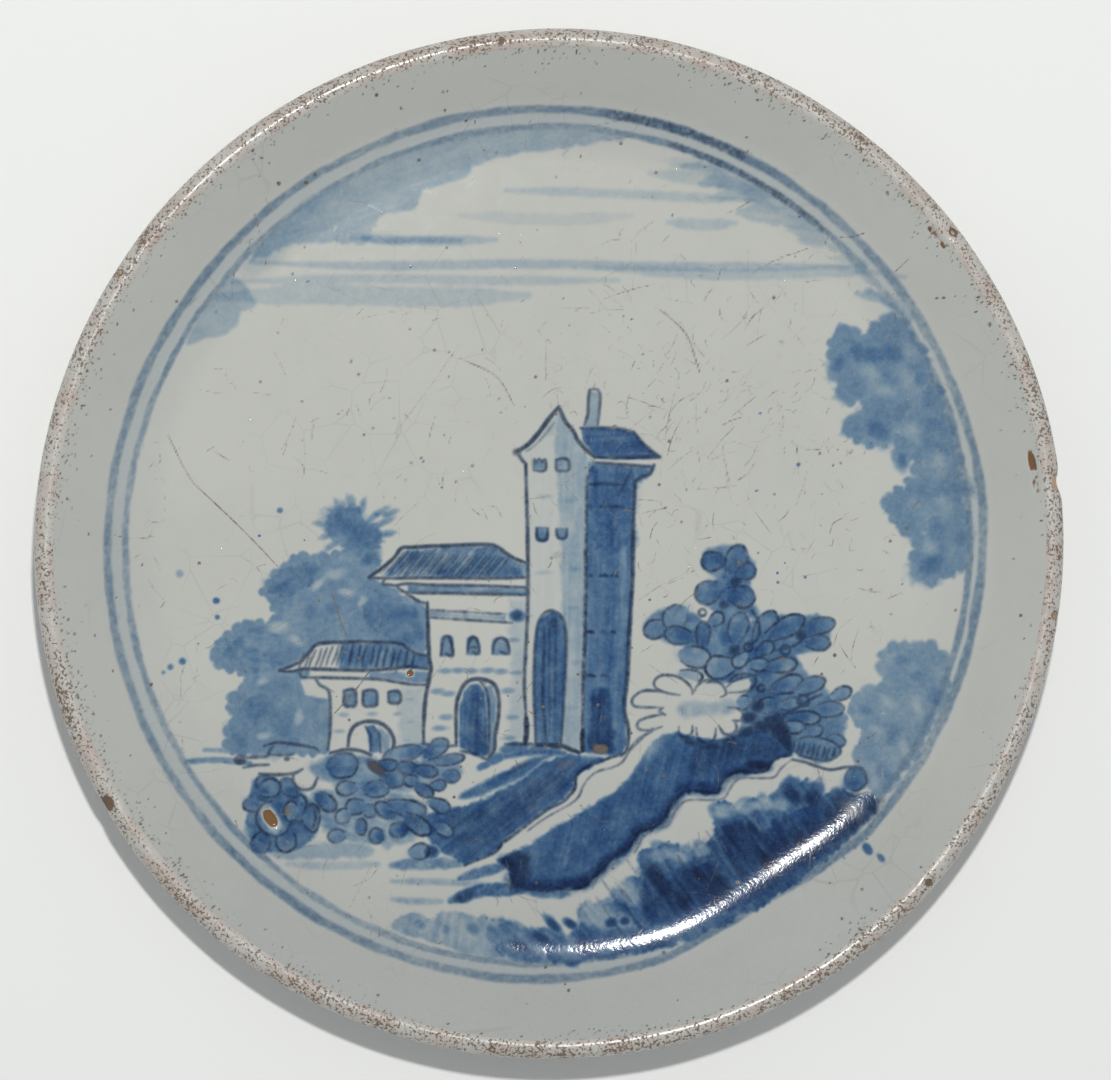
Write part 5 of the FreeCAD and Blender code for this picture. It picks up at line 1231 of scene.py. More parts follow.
        outer = course((0, 95.6), (5, 95.9), (45, 95.4), (90, 95.6), (140, 96.0), (180, 97.2), (210, 97.4),
            (240, 96.4), (270, 95.5), (286, 94.2), (294, 92.2), (301, 91.4), (309, 92.8), (318, 94.5),
            (330, 94.7), (354, 95.2))
        inner = course((0, 93.0), (30, 92.9), (45, 92.1), (90, 92.0), (140, 92.2), (170, 93.1), (190, 93.6),
            (210, 93.5), (240, 93.0), (270, 92.4), (286, 91.2), (294, 89.4), (301, 88.7), (309, 90.0),
            (318, 91.7), (330, 92.1))
        for middle, width, depth, seed in ((outer, 1.8, 0.28, 71), (inner, 1.4, 0.25, 72)):
            arc = a * 95
            shaky = middle + 0.14 * scatter(arc / 7, r * 0, seed) + 0.07 * scatter(arc / 1.6, r * 0,
                seed + 5)
            half = width / 2 * (1 + 0.18 * scatter(arc / 5, r * 0, seed + 9))
            mask = ease((half - np.abs(r - shaky)) / 0.55 + 0.5)
            load = depth * (1 + 0.3 * scatter(arc / 16, r * 0, seed + 3) + 0.35 * scatter(arc / 0.9,
                r / 0.5, seed + 4))
            over = 1 + 0.25 * np.exp(-(((turn - (73 if seed == 71 else 61)) / 11) ** 2))
            c.coats[Coat.COBALT.value] = np.maximum(c.coats[Coat.COBALT.value],
                (mask * load * over).astype(np.float32))
            c.coats[Coat.LINE.value] = np.maximum(c.coats[Coat.LINE.value],
                (mask * load * over * 0.7).astype(np.float32))
        for middle, centre, reach, half in ((outer, 73, 11, 1.0), (inner, 61, 13.5, 0.75)):
            band = ease((half - np.abs(r - middle)) / 0.5 + 0.5)
            again = ease((reach - np.abs(turn - centre)) / 2.5) * band
            grit = 0.75 + 1.1 * scatter(x / 0.5, y / 0.5, 77) + 0.4 * scatter(x / 1.2, y / 1.2, 78)
            grit = np.clip(grit, 0.1, 2)
            c.coats[Coat.LINE.value] += (0.52 * again * grit).astype(np.float32)
        between = ease((r - inner) / 1.2) * ease((outer - r) / 1.2)
        c.coats[Coat.COBALT.value] = np.maximum(c.coats[Coat.COBALT.value],
            (0.07 * between).astype(np.float32))

    def wear(self) -> None:
        """What has happened since: burst bubbles, rubbed places, scratches, cracks and grime, with a painted
        highlight round the burst bubbles and painted shade over the wall and towards the bottom.
        """
        c = self.c
        # Burst bubbles: the brown burst is real wear, but the paint lifted white in a wider ring round each
        # one is a painted highlight.
        for x, y, a, b, turn in ((-61.6, -60, 2.2, 1.2, -55), (-31, -28.3, 0.7, 0.6, 0)):
            c.blot(x, y, a * 1.5, b * 1.5, 1.0, turn, lift=True, crisp=1.4)
            c.blot(x, y, a, b, 1.0, turn, Coat.BLOOM, crisp=1.4)
        for route in (way(-78.5, 13.5, -70, 5.5, -65, 0.5, -60, -4.8), way(-48.5, -9.5, -46.5, -16, -44.5,
                -21), way(-40, -28, -43, -32, -47.5, -37), way(-84, 24, -80.6, 17, -78.5, 13.5),
                way(24, 52, 30, 46.4, 33, 38), way(-20, 41, -12, 37, -8, 30.6)):
            c.stroke(route, 0.34, 0.7, Coat.STAIN, soft=0.15, patchy=0.6)
        x, y = c.axis[None, :], c.axis[:, None]
        r = np.hypot(x, y)
        # Painted shade, not smoke: the dark coat is deepened over the wall, most towards the bottom of the
        # plate and a little at the top edge.
        painted_shade = 0.035 * ease((r - 84) / 5) + 0.13 * ease((-y - 20) / 90) + 0.03 * ease((y - 80) / 25)
        c.coats[Coat.LINE.value] += painted_shade.astype(np.float32)
        rng = np.random.default_rng(14)
        for k in range(1150):
            r, a = 96 * math.sqrt(rng.uniform()), rng.uniform(0, 2 * math.pi)
            lean, reach = rng.normal(1.1, 0.95), 0.8 + rng.exponential(2.6)
            x, y = r * math.cos(a), r * math.sin(a)
            if k % 3 == 0:
                x, y = rng.normal(30, 22), rng.normal(30, 18)
            tip = (x + reach * math.cos(lean), y + reach * math.sin(lean))
            bow = ((x + tip[0]) / 2 + rng.normal(0, 0.4), (y + tip[1]) / 2 + rng.normal(0, 0.4))
            c.stroke([(x, y), bow, tip], 0.22, rng.uniform(0.1, 0.62), Coat.STAIN, soft=0.15, patchy=0.9)
        for _ in range(260):
            r, a = 108 * math.sqrt(rng.uniform()), rng.uniform(0, 2 * math.pi)
            size = rng.uniform(0.2, 0.42)
            c.blot(r * math.cos(a), r * math.sin(a), size, size, rng.uniform(0.3, 1.0), 0, Coat.STAIN,
                crisp=1.5)
        for _ in range(2600):
            r, a = 108.6 - rng.exponential(1.1), rng.uniform(0, 2 * math.pi)
            if scatter(np.array(a * 5), np.array(0.0), 15) > rng.uniform(-0.9, 0.9):
                size = rng.uniform(0.12, 0.3)
                c.blot(r * math.cos(a), r * math.sin(a), size, size * 0.7, rng.uniform(0.35, 1.0), 40 * a,
                    Coat.STAIN, crisp=1.5)
        c.stroke(way(104.7, 20.4, 105.5, 17, 105.9, 14, 106.2, 11.8), 1.4, 0.75, Coat.BLOOM, soft=0.4,
            patchy=0.9)
        c.stroke(way(82.4, 69.4, 84.2, 67.4, 85.6, 65.2), 1.0, 0.75, Coat.BLOOM, soft=0.4, patchy=0.9)
        for _ in range(28):
            r, a = 84 * math.sqrt(rng.uniform()), rng.uniform(0, 2 * math.pi)
            size = rng.uniform(0.18, 0.32)
            c.blot(r * math.cos(a), r * math.sin(a), size, size, rng.uniform(0.5, 1.0), 0, Coat.COBALT,
                crisp=1.5)


# ---------------------------------------------------------------- finishes


class Value:
    """A number that flows through a material, with ordinary arithmetic."""

    def __init__(self, graph: Graph, socket: bpy.types.NodeSocket) -> None:
        """Hold an output of a node."""
        self.graph, self.socket = graph, socket

    def __add__(self, other: Value | float) -> Value:
        """Sum."""
        return self.graph.math("ADD", self, other)

    def __sub__(self, other: Value | float) -> Value:
        """Difference."""
        return self.graph.math("SUBTRACT", self, other)

    def __rsub__(self, other: float) -> Value:
        """Difference from a number."""
        return self.graph.math("SUBTRACT", other, self)

    def __mul__(self, other: Value | float) -> Value:
        """Product."""
        return self.graph.math("MULTIPLY", self, other)

    __radd__ = __add__
    __rmul__ = __mul__

    def exp(self) -> Value:
        """e to this power."""
        return self.graph.math("EXPONENT", self)

    def ramp(self, low: float, high: float) -> Value:
        """0 below low, 1 above high, smooth between."""
        settings = {"interpolation_type": "SMOOTHSTEP"}
        return Value(self.graph, self.graph.node("MapRange", settings, {"Value": self, 1: low,
            2: high}).outputs[0])


class Graph:
    """The nodes of one material."""

    def __init__(self, name: str) -> None:
        """Start a material with a shader and an output."""
        self.material = bpy.data.materials.new(name)
        self.material.use_nodes = True
        self.tree = self.material.node_tree
        self.tree.nodes.clear()
        self.place = self.node("TexCoord", {}, {}).outputs["Object"]

    def node(self, kind: str, settings: dict, inputs: dict) -> bpy.types.Node:
        """Add a node.

        Args:
            kind: its type, without the usual start of the name.
            settings: its properties, set before anything is plugged in.
            inputs: what goes into its sockets, by name or number.

        Returns:
            The node.
        """
        node = self.tree.nodes.new("ShaderNode" + kind)
        for key, value in settings.items():
            setattr(node, key, value)
        for key, value in inputs.items():
            source = value.socket if isinstance(value, Value) else value
            if isinstance(source, bpy.types.NodeSocket):
                self.tree.links.new(source, node.inputs[key])
            else:
                node.inputs[key].default_value = source
        return node

    def math(self, how: str, *values: Value | float) -> Value:
        """Arithmetic on numbers."""
        return Value(self, self.node("Math", {"operation": how}, dict(enumerate(values))).outputs[0])

    def noise(self, size: float, detail: float = 3.0, seed: float = 0.0, rough: float = 0.5) -> Value:
        """Cloudy noise about 0.5, with grains of a size in mm."""
        settings = {"noise_dimensions": "4D"}
        inputs = {"Vector": self.place, "W": seed, "Scale": 1 / (size * MM), "Detail": detail,
            "Roughness": rough}
        return Value(self, self.node("TexNoise", settings, inputs).outputs[0])

    def cells(self, size: float, feature: str, seed: float = 0.0) -> Value:
        """Distance in a cell pattern, with cells of a size in mm."""
        settings = {"voronoi_dimensions": "4D", "feature": feature}
        inputs = {"Vector": self.place, "W": seed, "Scale": 1 / (size * MM)}
        return Value(self, self.node("TexVoronoi", settings, inputs).outputs["Distance"])

    def tint(self, factor: Value | float, low: bpy.types.NodeSocket | tuple,
            high: bpy.types.NodeSocket | tuple) -> bpy.types.NodeSocket:
        """A colour between two."""
        return self.node("Mix", {"data_type": "RGBA"}, {0: factor, 6: low, 7: high}).outputs[2]

    def colour(self, red: Value, green: Value, blue: Value) -> bpy.types.NodeSocket:
        """A colour from its three numbers."""
        return self.node("CombineColor", {}, {0: red, 1: green, 2: blue}).outputs[0]

    def finish(self, colour: bpy.types.NodeSocket, rough: Value | float, height: Value,
            ior: float = 1.5) -> bpy.types.Material:
        """Plug the shader in.

        Args:
            colour: base colour.
            rough: roughness.
            height: relief, in mm.
            ior: index of refraction.

        Returns:
            The material.
        """
        bump = self.node("Bump", {}, {"Strength": 1.0, "Distance": MM, "Height": height})
        inputs = {"Base Color": colour, "Roughness": rough, "Normal": bump.outputs[0], "IOR": ior}
        shader = self.node("BsdfPrincipled", {}, inputs)
        self.node("OutputMaterial", {}, {"Surface": shader.outputs[0]})
        return self.material


@dataclass(frozen=True)
class TinGlaze:
    """White tin glaze that carries the painting in its depth.

    Args:
        white: the bare glaze.
        cobalt: how strongly the blue takes up red, green and blue light.
        line: the same for the dark drawing colour, which also darkens the painted shade laid over the wall
            and towards the bottom.
        grime: colour of old dirt.
        burst: colour of clay seen through a burst bubble.
    """

    white: tuple[float, float, float] = (0.500, 0.500, 0.468)
    cobalt: tuple[float, float, float] = (2.51, 1.59, 0.774)
    line: tuple[float, float, float] = (1.15, 1.08, 0.90)
    grime: tuple[float, float, float, float] = (0.13, 0.108, 0.08, 1)
    burst: tuple[float, float, float, float] = (0.19, 0.095, 0.045, 1)

    def make(self) -> bpy.types.Material:
        """Build the material.

        Returns:
            The material.
        """
        g = Graph("tin_glaze_painted")
        paint = g.node("Attribute", {"attribute_name": "paint"}, {})
        split = g.node("SeparateColor", {}, {0: paint.outputs["Color"]})
        blue, dark, dirt = (Value(g, split.outputs[k]) for k in range(3))
        bloom = Value(g, paint.outputs["Alpha"])
        grain, fine = g.noise(0.9, 3, 1), g.noise(0.42, 2, 2)
        blue = blue * (0.52 + grain * 0.62 + fine * 0.34)
        dark = dark * (0.42 + fine * 0.76 + grain * 0.4)
        cloud = g.noise(34, 4, 3, 0.6)
        craze = 1 - g.cells(9, "DISTANCE_TO_EDGE", 1).ramp(0.0, 0.022)
        veil = 1.0 + (cloud - 0.5) * 0.16 + (g.noise(2.6, 4, 4) - 0.5) * 0.05 - craze * g.noise(20, 2,
            5).ramp(0.5, 0.7) * 0.12
        channels = [(blue * -a + dark * -b).exp() * w * veil for a, b, w in zip(self.cobalt, self.line,
            self.white)]
        colour = g.tint((dirt * (0.5 + fine * 0.9)).ramp(0.0, 0.85), g.colour(*channels), self.grime)
        colour = g.tint(bloom.ramp(0.25, 0.6), colour, self.burst)
        bubbles = g.noise(0.75, 2, 6) * blue.ramp(0.3, 1.2) * 0.03
        height = g.noise(16, 2, 7) * 0.08 + g.noise(2.8, 3,
            8) * 0.02 + bubbles + dark * 0.006 - bloom * 0.25
        height = height - (1 - g.cells(3.2, "F1", 2).ramp(0.03, 0.09)) * 0.05
        rough = 0.06 + g.noise(5, 4, 9) * 0.08 + dirt * 0.25 + blue * 0.03
        return g.finish(colour, rough, height, 1.36)


@dataclass(frozen=True)
class BackGlaze:
    """Thinner, greyer glaze on the back, with the potter's turning rings and bare scars.

    Args:
        white: the glaze where it is full.
        thin: the glaze where it runs thin.
        clay: the body where it shows.
    """

    white: tuple[float, float, float, float] = (0.56, 0.55, 0.51, 1)
    thin: tuple[float, float, float, float] = (0.46, 0.41, 0.35, 1)
    clay: tuple[float, float, float, float] = (0.42, 0.27, 0.16, 1)

    def make(self) -> bpy.types.Material:
        """Build the material.

        Returns:
            The material.
        """
        g = Graph("tin_glaze_back")
        wear = Value(g, g.node("Attribute", {"attribute_name": "wear"}, {}).outputs["Fac"])
        colour = g.tint(g.noise(26, 5, 1, 0.6).ramp(0.45, 0.75) * 0.6, self.white, self.thin)
        specks = 1 - g.cells(5.5, "F1", 3).ramp(0.03, 0.08)
        colour = g.tint((specks * 0.8 + (wear + g.noise(0.8, 3, 2) * 0.5).ramp(0.62, 0.8)).ramp(0, 1),
            colour, self.clay)
        height = g.noise(14, 2, 4) * 0.2 + g.noise(2.2, 3, 5) * 0.03 - specks * 0.04 - wear * 0.15
        return g.finish(colour, 0.3 + g.noise(6, 3, 6) * 0.12 + wear * 0.4, height)


@dataclass(frozen=True)
class WornLip:
    """The lip, rubbed thin, with the pinkish body showing through and bare at its nicks.

    Args:
        white: the glaze that is left.
        pink: thin glaze over the body.
        clay: the body.
    """

    white: tuple[float, float, float, float] = (0.51, 0.49, 0.455, 1)
    pink: tuple[float, float, float, float] = (0.46, 0.39, 0.35, 1)
    clay: tuple[float, float, float, float] = (0.15, 0.10, 0.065, 1)

    def make(self) -> bpy.types.Material:
        """Build the material.

        Returns:
            The material.
        """
        g = Graph("worn_lip")
        wear = Value(g, g.node("Attribute", {"attribute_name": "wear"}, {}).outputs["Fac"])
        colour = g.tint(g.noise(7, 4, 1, 0.6).ramp(0.4, 0.68), self.white, self.pink)
        specks = g.noise(0.62, 4, 2, 0.65) + g.noise(14, 2, 7) * 0.2 + wear * 0.12
        specks = specks.ramp(0.665, 0.715) * 0.92
        rubbed = g.math("MAXIMUM", specks, (wear * 0.75 + g.noise(1.3, 4, 6, 0.65) * 0.5).ramp(0.74, 0.9))
        colour = g.tint(rubbed, colour, self.clay)
        height = g.noise(9, 2, 3) * 0.1 + g.noise(1.1, 3, 4) * (0.015 + wear * 0.08) - rubbed * 0.04
        return g.finish(colour, 0.18 + g.noise(3, 3, 5) * 0.14 + rubbed * 0.4, height)


@dataclass(frozen=True)
class BareClay:
    """Buff earthenware without glaze, with sand in it and grime in its pores.

    Args:
        buff: the body.
        dark: its darker parts.
    """

    buff: tuple[float, float, float, float] = (0.46, 0.34, 0.23, 1)
    dark: tuple[float, float, float, float] = (0.24, 0.16, 0.10, 1)

    def make(self) -> bpy.types.Material:
        """Build the material.

        Returns:
            The material.
        """
        g = Graph("bare_clay")
        sand = g.noise(0.7, 4, 1, 0.65)
        colour = g.tint((g.noise(9, 4, 2).ramp(0.42, 0.7) * 0.5 + sand.ramp(0.5, 0.75) * 0.5).ramp(0, 1),
            self.buff, self.dark)
        return g.finish(colour, 0.72 + sand * 0.2, sand * 0.09 + g.noise(4, 2, 3) * 0.05, 1.45)


# ---------------------------------------------------------------- the pieces


def only(name: str) -> bpy.types.Object:
    """Name the active object and its mesh."""
    piece = bpy.context.active_object
    piece.name = piece.data.name = name
    return piece


def points_of(piece: bpy.types.Object) -> np.ndarray:
    """The vertices of a piece in mm."""
    flat = np.empty(len(piece.data.vertices) * 3)
    piece.data.vertices.foreach_get("co", flat)
    return flat.reshape(-1, 3) / MM


def put_points(piece: bpy.types.Object, points: np.ndarray) -> None:
    """Move the vertices of a piece, given in mm."""
    piece.data.vertices.foreach_set("co", (points * MM).ravel())
    piece.data.update()


def turned(name: str, profile: Points, around: int) -> bpy.types.Object:
    """Turn a profile about the axis, as on the wheel.

    Args:
        name: what the piece is called.
        profile: distance from the axis and height of each ring, the outside on the left of the way.
        around: points to a ring.

    Returns:
        The piece.
    """
    bpy.ops.object.select_all(action="DESELECT")
    r, z = profile[0]
    bpy.ops.mesh.primitive_circle_add(vertices=around, radius=r * MM)
    piece = only(name)
    bpy.context.tool_settings.mesh_select_mode = (False, True, False)
    bpy.ops.object.mode_set(mode="EDIT")
    bpy.ops.mesh.select_all(action="SELECT")
    bpy.ops.transform.translate(value=(0, 0, z * MM))
    for next_r, next_z in profile[1:]:
        bpy.ops.mesh.extrude_edges_move(TRANSFORM_OT_translate={"value": (0, 0, (next_z - z) * MM)})
        grow = next_r / r
        bpy.ops.transform.resize(value=(grow, grow, 1), center_override=(0, 0, 0))
        r, z = next_r, next_z
    bpy.ops.mesh.select_all(action="SELECT")
    (r0, z0), (r1, z1) = profile[0], profile[1]
    bpy.ops.object.mode_set(mode="OBJECT")
    first = next(p for p in piece.data.polygons if abs(p.center.z / MM - (z0 + z1) / 2) < 0.02
        + abs(z1 - z0))
    outward = Vector((first.center.x, first.center.y, 0)).normalized() * (z0 - z1) + Vector((0, 0, r1 - r0))
    if first.normal.dot(outward) < 0:
        bpy.ops.object.mode_set(mode="EDIT")
        bpy.ops.mesh.flip_normals()
        bpy.ops.object.mode_set(mode="OBJECT")
    bpy.ops.object.shade_smooth()
    return piece


def record_wear(piece: bpy.types.Object, wear: np.ndarray) -> None:
    """Keep how worn each point of a piece is, for its finish."""
    layer = piece.data.attributes.new("wear", "FLOAT", "POINT")
    layer.data.foreach_set("value", wear.astype(np.float32))


def settle_piece(piece: bpy.types.Object, finish: bpy.types.Material, slot: str, *nodes: str) -> None:
    """Dress a piece and place it in the frame.

    Args:
        piece: the piece.
        finish: its material.
        slot: the slot of the record that it answers to; not used.
        nodes: the solids that it stands for.
    """
    piece.data.materials.clear()
    piece.data.materials.append(finish)
    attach(piece, "root")
    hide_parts(*nodes)
    LOG.info("%s: %d points, for %s", piece.name, len(piece.data.vertices), ", ".join(nodes))


@dataclass
class Plot:
    """One patch of the painted face.

    Args:
        name: what the piece is called.
        span: left, right, foot and head, in squares of the layout.
        pitch: distance between its points.
        slot: the slot of the record that it answers to.
        nodes: the solids that it stands for.
    """

    name: str
    span: tuple[float, float, float, float]
    pitch: float
    slot: str
    nodes: tuple[str, ...]


FINE, COARSE, SQUARE = 0.175, 0.35, 7.0
PLOTS = (
    Plot("face_tower", (-1, 4, -7, 5), FINE, "deep_cobalt",
        ("tower_roof", "tower_side", "tower_front_shade", "tower_door", "tower_outline")),
    Plot("face_house", (-6, -1, -7, 1), FINE, "mid_cobalt",
        ("house_roof", "house_band", "house_door", "house_outline")),
    Plot("face_gatehouse", (-11, -6, -7, 2), FINE, "mid_cobalt",
        ("gate_roof", "gate_arch", "gate_outline", "left_tree", "left_tree_crown")),
    Plot("face_bush", (-10, -2, -10, -7), FINE, "mid_cobalt", ("bush",)),
    Plot("face_banks", (-2, 11, -10, -7), FINE, "deep_cobalt", ("near_bank", "middle_bank", "bank_outline")),
    Plot("face_foreground", (-5, 9, -13, -10), FINE, "deep_cobalt", ("dark_foliage", "ground_strokes")),
    Plot("face_shrub", (4, 10, -7, 1), FINE, "mid_cobalt", ("shrub",)),
    Plot("face_sky_left", (-16, 0, 5, 16), COARSE, "pale_cobalt", ("sky_wash_left", "sky_streaks")),
    Plot("face_sky_right", (0, 16, 5, 16), COARSE, "pale_cobalt",
        ("sky_wash_right", "sky_streaks", "inner_ring_line")),
    Plot("face_rim_left", (-16, -11, -7, 5), COARSE, "pale_cobalt",
        ("outer_ring_line", "inner_ring_line", "paint_spots")),
    Plot("face_over_gatehouse", (-11, -6, 2, 5), COARSE, "tin_glaze", ("face_glaze",)),
    Plot("face_over_house", (-6, -1, 1, 5), COARSE, "tin_glaze", ("face_glaze",)),
    Plot("face_over_shrub", (4, 10, 1, 5), COARSE, "tin_glaze", ("face_glaze",)),
    Plot("face_rim_right", (10, 16, -7, 5), COARSE, "mid_cobalt",
        ("far_tree_upper", "far_tree_lower", "outer_ring_line")),
    Plot("face_low_left", (-16, -10, -10, -7), COARSE, "pale_cobalt", ("outer_ring_line",)),
    Plot("face_low_right", (11, 16, -10, -7), COARSE, "pale_cobalt", ("far_tree_lower", "outer_ring_line")),
    Plot("face_bottom_left", (-16, -5, -13, -10), COARSE, "pale_cobalt",
        ("ground_strokes", "outer_ring_line")),
    Plot("face_bottom_right", (9, 16, -13, -10), COARSE, "pale_cobalt", ("dark_foliage", "outer_ring_line")),
    Plot("face_bottom", (-16, 16, -16, -13), COARSE, "pale_cobalt", ("outer_ring_line", "inner_ring_line")),
)


@dataclass
class Face:
    """The glazed face with the painting in it, in patches that meet edge to edge.

    Args:
        section: the potter's section.
        throwing: how it is out of true.
        canvas: the painting.
        sag: how far the floor has sagged in the kiln, mm.
        sag_turn: which way the sag lies, radians.
    """

    section: Section
    throwing: Throwing
    canvas: Canvas
    sag: float = 0.22
    sag_turn: float = 0.7

    def heights(self, x: np.ndarray, y: np.ndarray) -> tuple[np.ndarray, np.ndarray]:
        """Height and outward steepness of the face over any points."""
        r, angle = np.hypot(x, y), np.arctan2(y, x)
        rim = self.throwing.drift(r, angle)
        pull = self.throwing.bend_shift(angle) * ease((r - 72) / 10) * (1 - ease((r - 93) / 15))
        z, steep = self.section.face(r - rim + pull)
        dip = self.sag * np.cos(angle * 2 + self.sag_turn) * (r / 84) ** 2 * (1 - ease((r - 84) / 20))
        return z + dip, steep

    def build(self, finish: bpy.types.Material) -> None:
        """Make every patch."""
        for plot in PLOTS:
            self.patch(plot, finish)

    def patch(self, plot: Plot, finish: bpy.types.Material) -> None:
        """Make one patch: a grid, trimmed to the round of the plate, raised to the section and painted.

        Args:
            plot: the patch.
            finish: its material.
        """
        left, right, foot, head = (SQUARE * v for v in plot.span)
        across, up = round((right - left) / plot.pitch), round((head - foot) / plot.pitch)
        bpy.ops.object.select_all(action="DESELECT")
        bpy.ops.mesh.primitive_grid_add(x_subdivisions=across, y_subdivisions=up, size=1)
        piece = only(plot.name)
        points = points_of(piece) * MM
        x = left + (points[:, 0] + 0.5) * (right - left)
        y = foot + (points[:, 1] + 0.5) * (head - foot)
        r, angle = np.hypot(x, y), np.arctan2(y, x)
        edge = self.section.wall_top + self.throwing.rim_shift(angle)
        outside = r > edge
        if outside.any():
            corners = np.empty(len(piece.data.polygons) * 4, np.int32)
            piece.data.polygons.foreach_get("vertices", corners)
            gone = outside[corners.reshape(-1, 4)].all(1)
            x, y = np.where(outside, x * edge / r, x), np.where(outside, y * edge / r, y)
            self.drop_faces(piece, gone, x, y)
            x, y = points_of(piece)[:, :2].T
        z, _ = self.heights(x, y)
        put_points(piece, np.stack([x, y, z], 1))
        layer = piece.data.color_attributes.new(name="paint", type="FLOAT_COLOR", domain="POINT")
        layer.data.foreach_set("color", self.canvas.read(x, y).astype(np.float32).ravel())
        bpy.ops.object.shade_smooth()
        step = 0.05
        along = (self.heights(x + step, y)[0] - self.heights(x - step, y)[0]) / (2 * step)
        over = (self.heights(x, y + step)[0] - self.heights(x, y - step)[0]) / (2 * step)
        normals = np.stack([-along, -over, np.ones_like(along)], 1)
        normals /= np.linalg.norm(normals, axis=1)[:, None]
        piece.data.normals_split_custom_set_from_vertices(normals)
        settle_piece(piece, finish, plot.slot, *dict.fromkeys((*plot.nodes, "face_glaze")))

    def drop_faces(self, piece: bpy.types.Object, gone: np.ndarray, x: np.ndarray, y: np.ndarray) -> None:
        """Cut away the faces beyond the edge, with the points already drawn in to it.

        Args:
            piece: the patch.
            gone: which faces are cut away.
            x: where the points now are.
            y: where the points now are.
        """
        put_points(piece, np.stack([x, y, np.zeros_like(x)], 1))
        mesh = piece.data
        mesh.vertices.foreach_set("select", np.zeros(len(mesh.vertices), bool))
        mesh.edges.foreach_set("select", np.zeros(len(mesh.edges), bool))
        mesh.polygons.foreach_set("select", gone)
        bpy.context.tool_settings.mesh_select_mode = (False, False, True)
        bpy.ops.object.mode_set(mode="EDIT")
        bpy.ops.mesh.delete(type="FACE")
        bpy.ops.object.mode_set(mode="OBJECT")


@dataclass
class Nick:
    """A knock on the lip.

    Args:
        angle: where it is, degrees round the plate.
        reach: half its length along the lip, mm.
        bite: its depth, mm.
        tilt: its middle on the round of the lip, degrees up from outwards.
    """

    angle: float
    reach: float
    bite: float
    tilt: float


@dataclass
class Lip:
    """The round lip, worn along its crown and nicked.

    Args:
        section: the potter's section.
        throwing: how it is out of true.
        nicks: the knocks it has had.
    """

    section: Section
    throwing: Throwing
    nicks: tuple[Nick, ...] = (Nick(7, 2.4, 1.3, 20), Nick(38, 1.4, 0.6, 60), Nick(210, 2.3, 0.6, 40),
        Nick(352, 1.3, 0.6, 40), Nick(96, 0.9, 0.3, 80), Nick(148, 1.0, 0.35, 50), Nick(263, 0.9, 0.3, 60),
        Nick(318, 1.1, 0.35, 70))

    def build(self, finish: bpy.types.Material) -> None:
        """Turn the lip and knock its nicks in.

        Args:
            finish: its material.
        """
        s = self.section
        start, end = 90 + math.degrees(s.slope), -90 + math.degrees(s.slope)
        stops = [start, start - 1.2, start - 3, start - 6, *np.linspace(start - 10, end + 4, 17), end]
        profile = [(s.lip_r + s.bead * math.cos(math.radians(a)),
            s.lip_z + s.bead * math.sin(math.radians(a))) for a in stops]
        piece = turned("glazed_lip", profile, 1800)
        points = points_of(piece)
        r, angle = np.hypot(points[:, 0], points[:, 1]), np.arctan2(points[:, 1], points[:, 0])
        turn = np.arctan2(points[:, 2] - s.lip_z, r - s.lip_r)
        crown = np.exp(-(((np.degrees(turn) - 62) / 45) ** 2))
        wear = 0.32 * crown * (1 + 0.8 * scatter(angle * 14, turn * 2, 31))
        rubs = np.clip(scatter(angle * 60, turn * 3, 32), 0, 1)
        wear += 0.25 * rubs * (np.abs(np.degrees(turn) - 60) < 60)
        bead = s.bead * (1 + 0.02 * scatter(angle * 9, turn * 1.5, 33))
        hold = ease((np.radians(start) - turn) / 0.5) * ease((turn - np.radians(end)) / 0.5)
        bead = s.bead + (bead - s.bead) * hold
        for nick in self.nicks:
            off = np.angle(np.exp(1j * (angle - math.radians(nick.angle)))) * s.lip_r
            away = np.hypot(off / nick.reach, (np.degrees(turn) - nick.tilt) / (26 * nick.reach))
            dent = np.exp(-(away**2) * 1.6) * (1 + 0.3 * scatter(off / 0.5, turn / 0.2, 34))
            bead = bead - nick.bite * dent * hold
            wear = np.maximum(wear, ease(dent * 1.8))
        rr = s.lip_r + bead * np.cos(turn) + self.throwing.rim_shift(angle)
        z = s.lip_z + bead * np.sin(turn)
        put_points(piece, np.stack([rr * np.cos(angle), rr * np.sin(angle), z], 1))
        record_wear(piece, np.clip(wear, 0, 1))
        settle_piece(piece, finish, "worn_lip", "lip_glaze")


